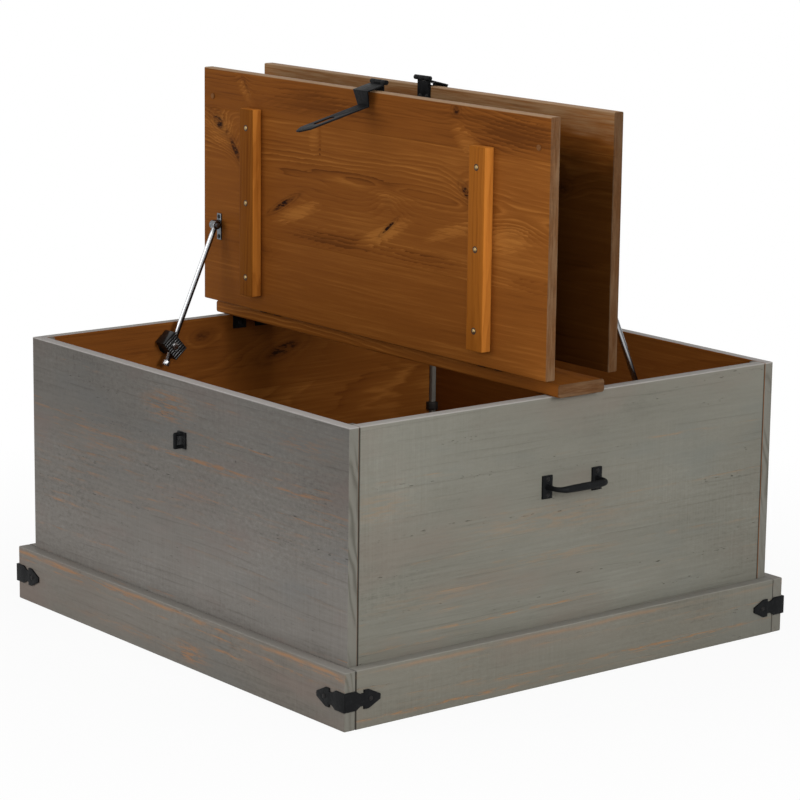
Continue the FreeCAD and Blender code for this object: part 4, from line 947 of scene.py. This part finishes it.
def handleBow(node, end, tree):
    far, half, bend = bow["reach"], bow["span"] / 2, bow["bend"]
    path = bpy.data.curves.new(node + "_path", "CURVE")
    path.dimensions = "3D"
    line = path.splines.new("POLY")
    outline = [(0.0, -half), (far - bend, -half)]
    for step in range(1, bow["bendSteps"] + 1):
        angle = step * math.pi / (2 * bow["bendSteps"])
        outline.append((far - bend + bend * math.sin(angle), -half + bend - bend * math.cos(angle)))
    outline += [(out, -offset) for out, offset in reversed(outline)]
    line.points.add(len(outline) - 1)
    for point, (out, offset) in zip(line.points, outline):
        point.co = (end * (bow["face"] + out), end * offset, bow["level"], 1.0)
    values = {
        "Thickness": bow["thick"], "Sides": bow["sides"], "Rings": bow["rings"], "Finish": finishes["iron"],
    }
    mesh = grow(node + "_forged", path, tree, values)
    smoothShade(mesh, bow["smooth"])
    standIn(node, mesh)


forged = bowTree()
handleBow("right_handle_bar", 1, forged)
handleBow("left_handle_bar", -1, forged)
print("handles forged")

# screw heads on points: widths in head radii, depths in head heights, the height in metres
screwHead = {
    "height": 0.0014, "sides": 20, "shoulder": 0.82, "crown": 0.42, "skirtDeep": 0.6, "crownDeep": 0.4,
    "slotWide": 0.24, "slotLong": 1.05, "slotDeep": 0.3, "slotDrop": 0.16, "holeDeep": 0.1, "holeDrop": 0.95,
    "ring": 0.9, "wideRing": 1.4, "seed": 7, "turn": 3.14, "level": 1e-5,
}
randomSockets = {"low": 2, "high": 3, "result": 1}  # a Random Value node's sockets for floats


def headSpot(shell):
    # the top of a screw's head, the way it faces and its radius
    low, high = (Vector([pick(point[i] for point in shell) for i in range(3)]) for pick in (min, max))
    size = high - low
    axis = max(range(3), key=lambda i: size[i])
    middle = (low + high) / 2
    reach = {}
    for sign, level in ((-1, low[axis]), (1, high[axis])):
        arms = [point - middle for point in shell if abs(point[axis] - level) < screwHead["level"]]
        for arm in arms:
            arm[axis] = 0.0
        reach[sign] = max(arm.length for arm in arms)
    sign = max(reach, key=reach.get)
    top = middle.copy()
    top[axis] = high[axis] if sign > 0 else low[axis]
    facing = Vector((0.0, 0.0, 0.0))
    facing[axis] = sign
    return top, facing, reach[sign]


def screwSpots(node):
    # each loose shell of the CAD screws gives one head
    shells = bmesh.new()
    shells.from_mesh(nodes[node].data)
    bmesh.ops.remove_doubles(shells, verts=shells.verts, dist=easing["merge"])
    shells.verts.index_update()
    seen = set()
    spots = []
    for start in shells.verts:
        if start.index in seen:
            continue
        stack, shell = [start], []
        seen.add(start.index)
        while stack:
            vert = stack.pop()
            shell.append(vert.co.copy())
            for edge in vert.link_edges:
                other = edge.other_vert(vert)
                if other.index not in seen:
                    seen.add(other.index)
                    stack.append(other)
        spots.append(headSpot(shell))
    shells.free()
    return spots


def screwTree():
    tree, given = newTree("screwHeads", {
        "Height": "NodeSocketFloat", "Ring": "NodeSocketFloat", "Head": "NodeSocketMaterial",
        "Recess": "NodeSocketMaterial", "Hole": "NodeSocketMaterial",
    })

    def sunk(kind, sizes, drop):
        # a simple form below the top of the head
        form = addNode(tree, kind, {}, sizes)
        inputs = {"Geometry": form, "Translation": (0.0, 0.0, -drop)}
        return addNode(tree, "GeometryNodeTransform", {}, inputs)

    def joined(*forms):
        return addNode(tree, "GeometryNodeJoinGeometry", {}, {0: list(forms)})

    def painted(form, finish):
        inputs = {"Geometry": form, "Material": given[finish]}
        return addNode(tree, "GeometryNodeSetMaterial", {}, inputs)

    sides, shoulder = screwHead["sides"], screwHead["shoulder"]
    skirtDeep, crownDeep = screwHead["skirtDeep"], screwHead["crownDeep"]
    sizes = {"Vertices": sides, "Radius Bottom": 1.0, "Radius Top": shoulder, "Depth": skirtDeep}
    skirt = sunk("GeometryNodeMeshCone", sizes, skirtDeep + crownDeep)
    sizes = {**sizes, "Radius Bottom": shoulder, "Radius Top": screwHead["crown"], "Depth": crownDeep}
    crown = sunk("GeometryNodeMeshCone", sizes, crownDeep)
    slot = (screwHead["slotLong"], screwHead["slotWide"], screwHead["slotDeep"])
    cross = (screwHead["slotWide"], screwHead["slotLong"], screwHead["slotDeep"])
    slots = [sunk("GeometryNodeMeshCube", {"Size": size}, screwHead["slotDrop"]) for size in (slot, cross)]
    sizes = {"Vertices": sides, "Radius": given["Ring"], "Depth": screwHead["holeDeep"]}
    hole = sunk("GeometryNodeMeshCylinder", sizes, screwHead["holeDrop"])
    # the dark ring of the hole round a head and the dark cross of the slots are painted shade
    dome = painted(joined(skirt, crown), "Head")
    head = joined(painted(hole, "Hole"), dome, painted(joined(*slots), "Recess"))
    # each head faces its own way and is turned by chance
    inputs = {"Name": "facing"}
    facing = addNode(tree, "GeometryNodeInputNamedAttribute", {"data_type": "FLOAT_VECTOR"}, inputs)
    inputs = {"Name": "headRadius"}
    radius = addNode(tree, "GeometryNodeInputNamedAttribute", {"data_type": "FLOAT"}, inputs)
    inputs = {"Vector": facing.outputs["Attribute"]}
    aimed = addNode(tree, "FunctionNodeAlignRotationToVector", {"axis": "Z"}, inputs)
    inputs = {
        randomSockets["low"]: 0.0, randomSockets["high"]: screwHead["turn"], "Seed": screwHead["seed"],
    }
    spin = addNode(tree, "FunctionNodeRandomValue", {"data_type": "FLOAT"}, inputs)
    angle = addNode(tree, "ShaderNodeCombineXYZ", {}, {"Z": spin.outputs[randomSockets["result"]]})
    twist = addNode(tree, "FunctionNodeEulerToRotation", {}, {"Euler": angle})
    inputs = {"Rotation": aimed, "Rotate By": twist}
    turned = addNode(tree, "FunctionNodeRotateRotation", {"rotation_space": "LOCAL"}, inputs)
    wide = radius.outputs["Attribute"]
    size = addNode(tree, "ShaderNodeCombineXYZ", {}, {"X": wide, "Y": wide, "Z": given["Height"]})
    dots = addNode(tree, "GeometryNodeMeshToPoints", {}, {"Mesh": given["Geometry"]})
    inputs = {"Points": dots, "Instance": head, "Rotation": turned, "Scale": size}
    spread = addNode(tree, "GeometryNodeInstanceOnPoints", {}, inputs)
    real = addNode(tree, "GeometryNodeRealizeInstances", {}, {"Geometry": spread})
    addNode(tree, "NodeGroupOutput", {}, {0: real})
    return tree


def screws(node, finish, ring, tree):
    spots = screwSpots(node)
    dots = bpy.data.meshes.new(node + "_spots")
    dots.from_pydata([tuple(top) for top, facing, radius in spots], [], [])
    dots.attributes.new("facing", "FLOAT_VECTOR", "POINT")
    dots.attributes.new("headRadius", "FLOAT", "POINT")
    for index, (top, facing, radius) in enumerate(spots):
        dots.attributes["facing"].data[index].vector = facing
        dots.attributes["headRadius"].data[index].value = radius
    values = {
        "Height": screwHead["height"], "Ring": ring, "Head": finishes[finish],
        "Recess": finishes["recess"], "Hole": finishes["hole"],
    }
    standIn(node, grow(node + "_heads", dots, tree, values))


headTree = screwTree()
blackScrews = [
    "corner_iron_screws", "face_iron_screws", "inner_screws", "hinge_board_screws", "front_lid_iron_screws",
    "back_lid_iron_screws", "front_stay_bracket_screws", "back_stay_bracket_screws",
]
for node in blackScrews:
    screws(node, "blackScrew", screwHead["ring"], headTree)
for node in ("front_batten_screws", "back_batten_screws"):
    screws(node, "brassy", screwHead["wideRing"], headTree)
print("screw heads placed")

# floor, light and camera
studio = {
    "floor": 30.0, "paper": 0.82, "world": 0.33,
    # plain white away from the chest, a little of its shadow close by
    "fade": {"From Min": 0.55, "From Max": 1.3, "To Min": 0.93, "To Max": 1.0},
    # lamps: place, height of the aim, width, power
    "lamps": {
        "frontLight": ((-1.5, -4.1, 1.3), 0.3, 3.0, 84.0),
        "endLight": ((4.4, -0.25, 1.9), 0.3, 1.3, 92.0),
        "fillLight": ((3.2, -2.6, 2.0), 0.3, 1.5, 30.0),
        "topLight": ((0.4, -0.6, 4.0), 0.4, 3.0, 17.0),
    },
}


def backdropRays(tree):
    # 1 for rays that see the plain white backdrop
    rays = addNode(tree, "ShaderNodeLightPath").outputs
    seen = rays["Is Camera Ray"]
    for kind in ("Is Glossy Ray", "Is Transmission Ray"):
        seen = addNode(tree, "ShaderNodeMath", {"operation": "MAXIMUM"}, {0: seen, 1: rays[kind]})
    return seen


floorMesh = bpy.data.meshes.new("floor")
reach = studio["floor"]
corners = [(-reach, -reach, 0), (reach, -reach, 0), (reach, reach, 0), (-reach, reach, 0)]
floorMesh.from_pydata(corners, [], [(0, 1, 2, 3)])
floor = placed("floor", floorMesh)
paper = bpy.data.materials.new("floorPaper")
tree = freshTree(paper)
flat = addNode(tree, "ShaderNodeBsdfDiffuse", {}, {"Color": (*[studio["paper"]] * 3, 1.0)})
glow = addNode(tree, "ShaderNodeEmission", {}, {"Strength": 1.0})
spot = addNode(tree, "ShaderNodeTexCoord").outputs["Object"]
away = addNode(tree, "ShaderNodeVectorMath", {"operation": "LENGTH"}, {0: spot}).outputs["Value"]
fade = addNode(tree, "ShaderNodeMapRange", {}, {"Value": away, **studio["fade"]})
share = addNode(tree, "ShaderNodeMath", {"operation": "MULTIPLY"}, {0: backdropRays(tree), 1: fade})
mixed = addNode(tree, "ShaderNodeMixShader", {}, {0: share, 1: flat, 2: glow})
addNode(tree, "ShaderNodeOutputMaterial", {}, {0: mixed})
floorMesh.materials.append(paper)

world = bpy.data.worlds.new("studio")
scene.world = world
tree = freshTree(world)
white = (1.0, 1.0, 1.0, 1.0)
soft = addNode(tree, "ShaderNodeBackground", {}, {"Color": white, "Strength": studio["world"]})
plain = addNode(tree, "ShaderNodeBackground", {}, {"Color": white, "Strength": 1.0})
mixed = addNode(tree, "ShaderNodeMixShader", {}, {0: backdropRays(tree), 1: soft, 2: plain})
addNode(tree, "ShaderNodeOutputWorld", {}, {0: mixed})

for name, (place, aim, width, power) in studio["lamps"].items():
    lamp = bpy.data.lights.new(name, "AREA")
    lamp.shape = "SQUARE"
    lamp.size = width
    lamp.energy = power
    stand = placed(name, lamp)
    stand.location = place
    stand.rotation_euler = (Vector((0, 0, aim)) - Vector(place)).to_track_quat("-Z", "Y").to_euler()

view = {
    "azimuth": 51.3598, "elevation": 11.8902, "roll": 0.7184, "place": (3.33489, -2.66082, 1.221),
    "lens": 134.8517, "sensor": 36.0, "clip": 100.0,
}
azimuth, elevation, roll = (math.radians(view[key]) for key in ("azimuth", "elevation", "roll"))
level = math.cos(elevation)
back = Vector((math.sin(azimuth) * level, -math.cos(azimuth) * level, math.sin(elevation)))
right = Vector((math.cos(azimuth), math.sin(azimuth), 0.0))
up = back.cross(right)
across = right * math.cos(roll) + up * math.sin(roll)
upward = up * math.cos(roll) - right * math.sin(roll)
lensData = bpy.data.cameras.new("camera")
lensData.sensor_width = view["sensor"]
lensData.sensor_fit = "HORIZONTAL"
lensData.lens = view["lens"]
lensData.clip_end = view["clip"]
camera = placed("camera", lensData)
axes = Matrix((across, upward, back)).transposed()
camera.matrix_world = Matrix.Translation(view["place"]) @ axes.to_4x4()
scene.camera = camera
print("stage set")
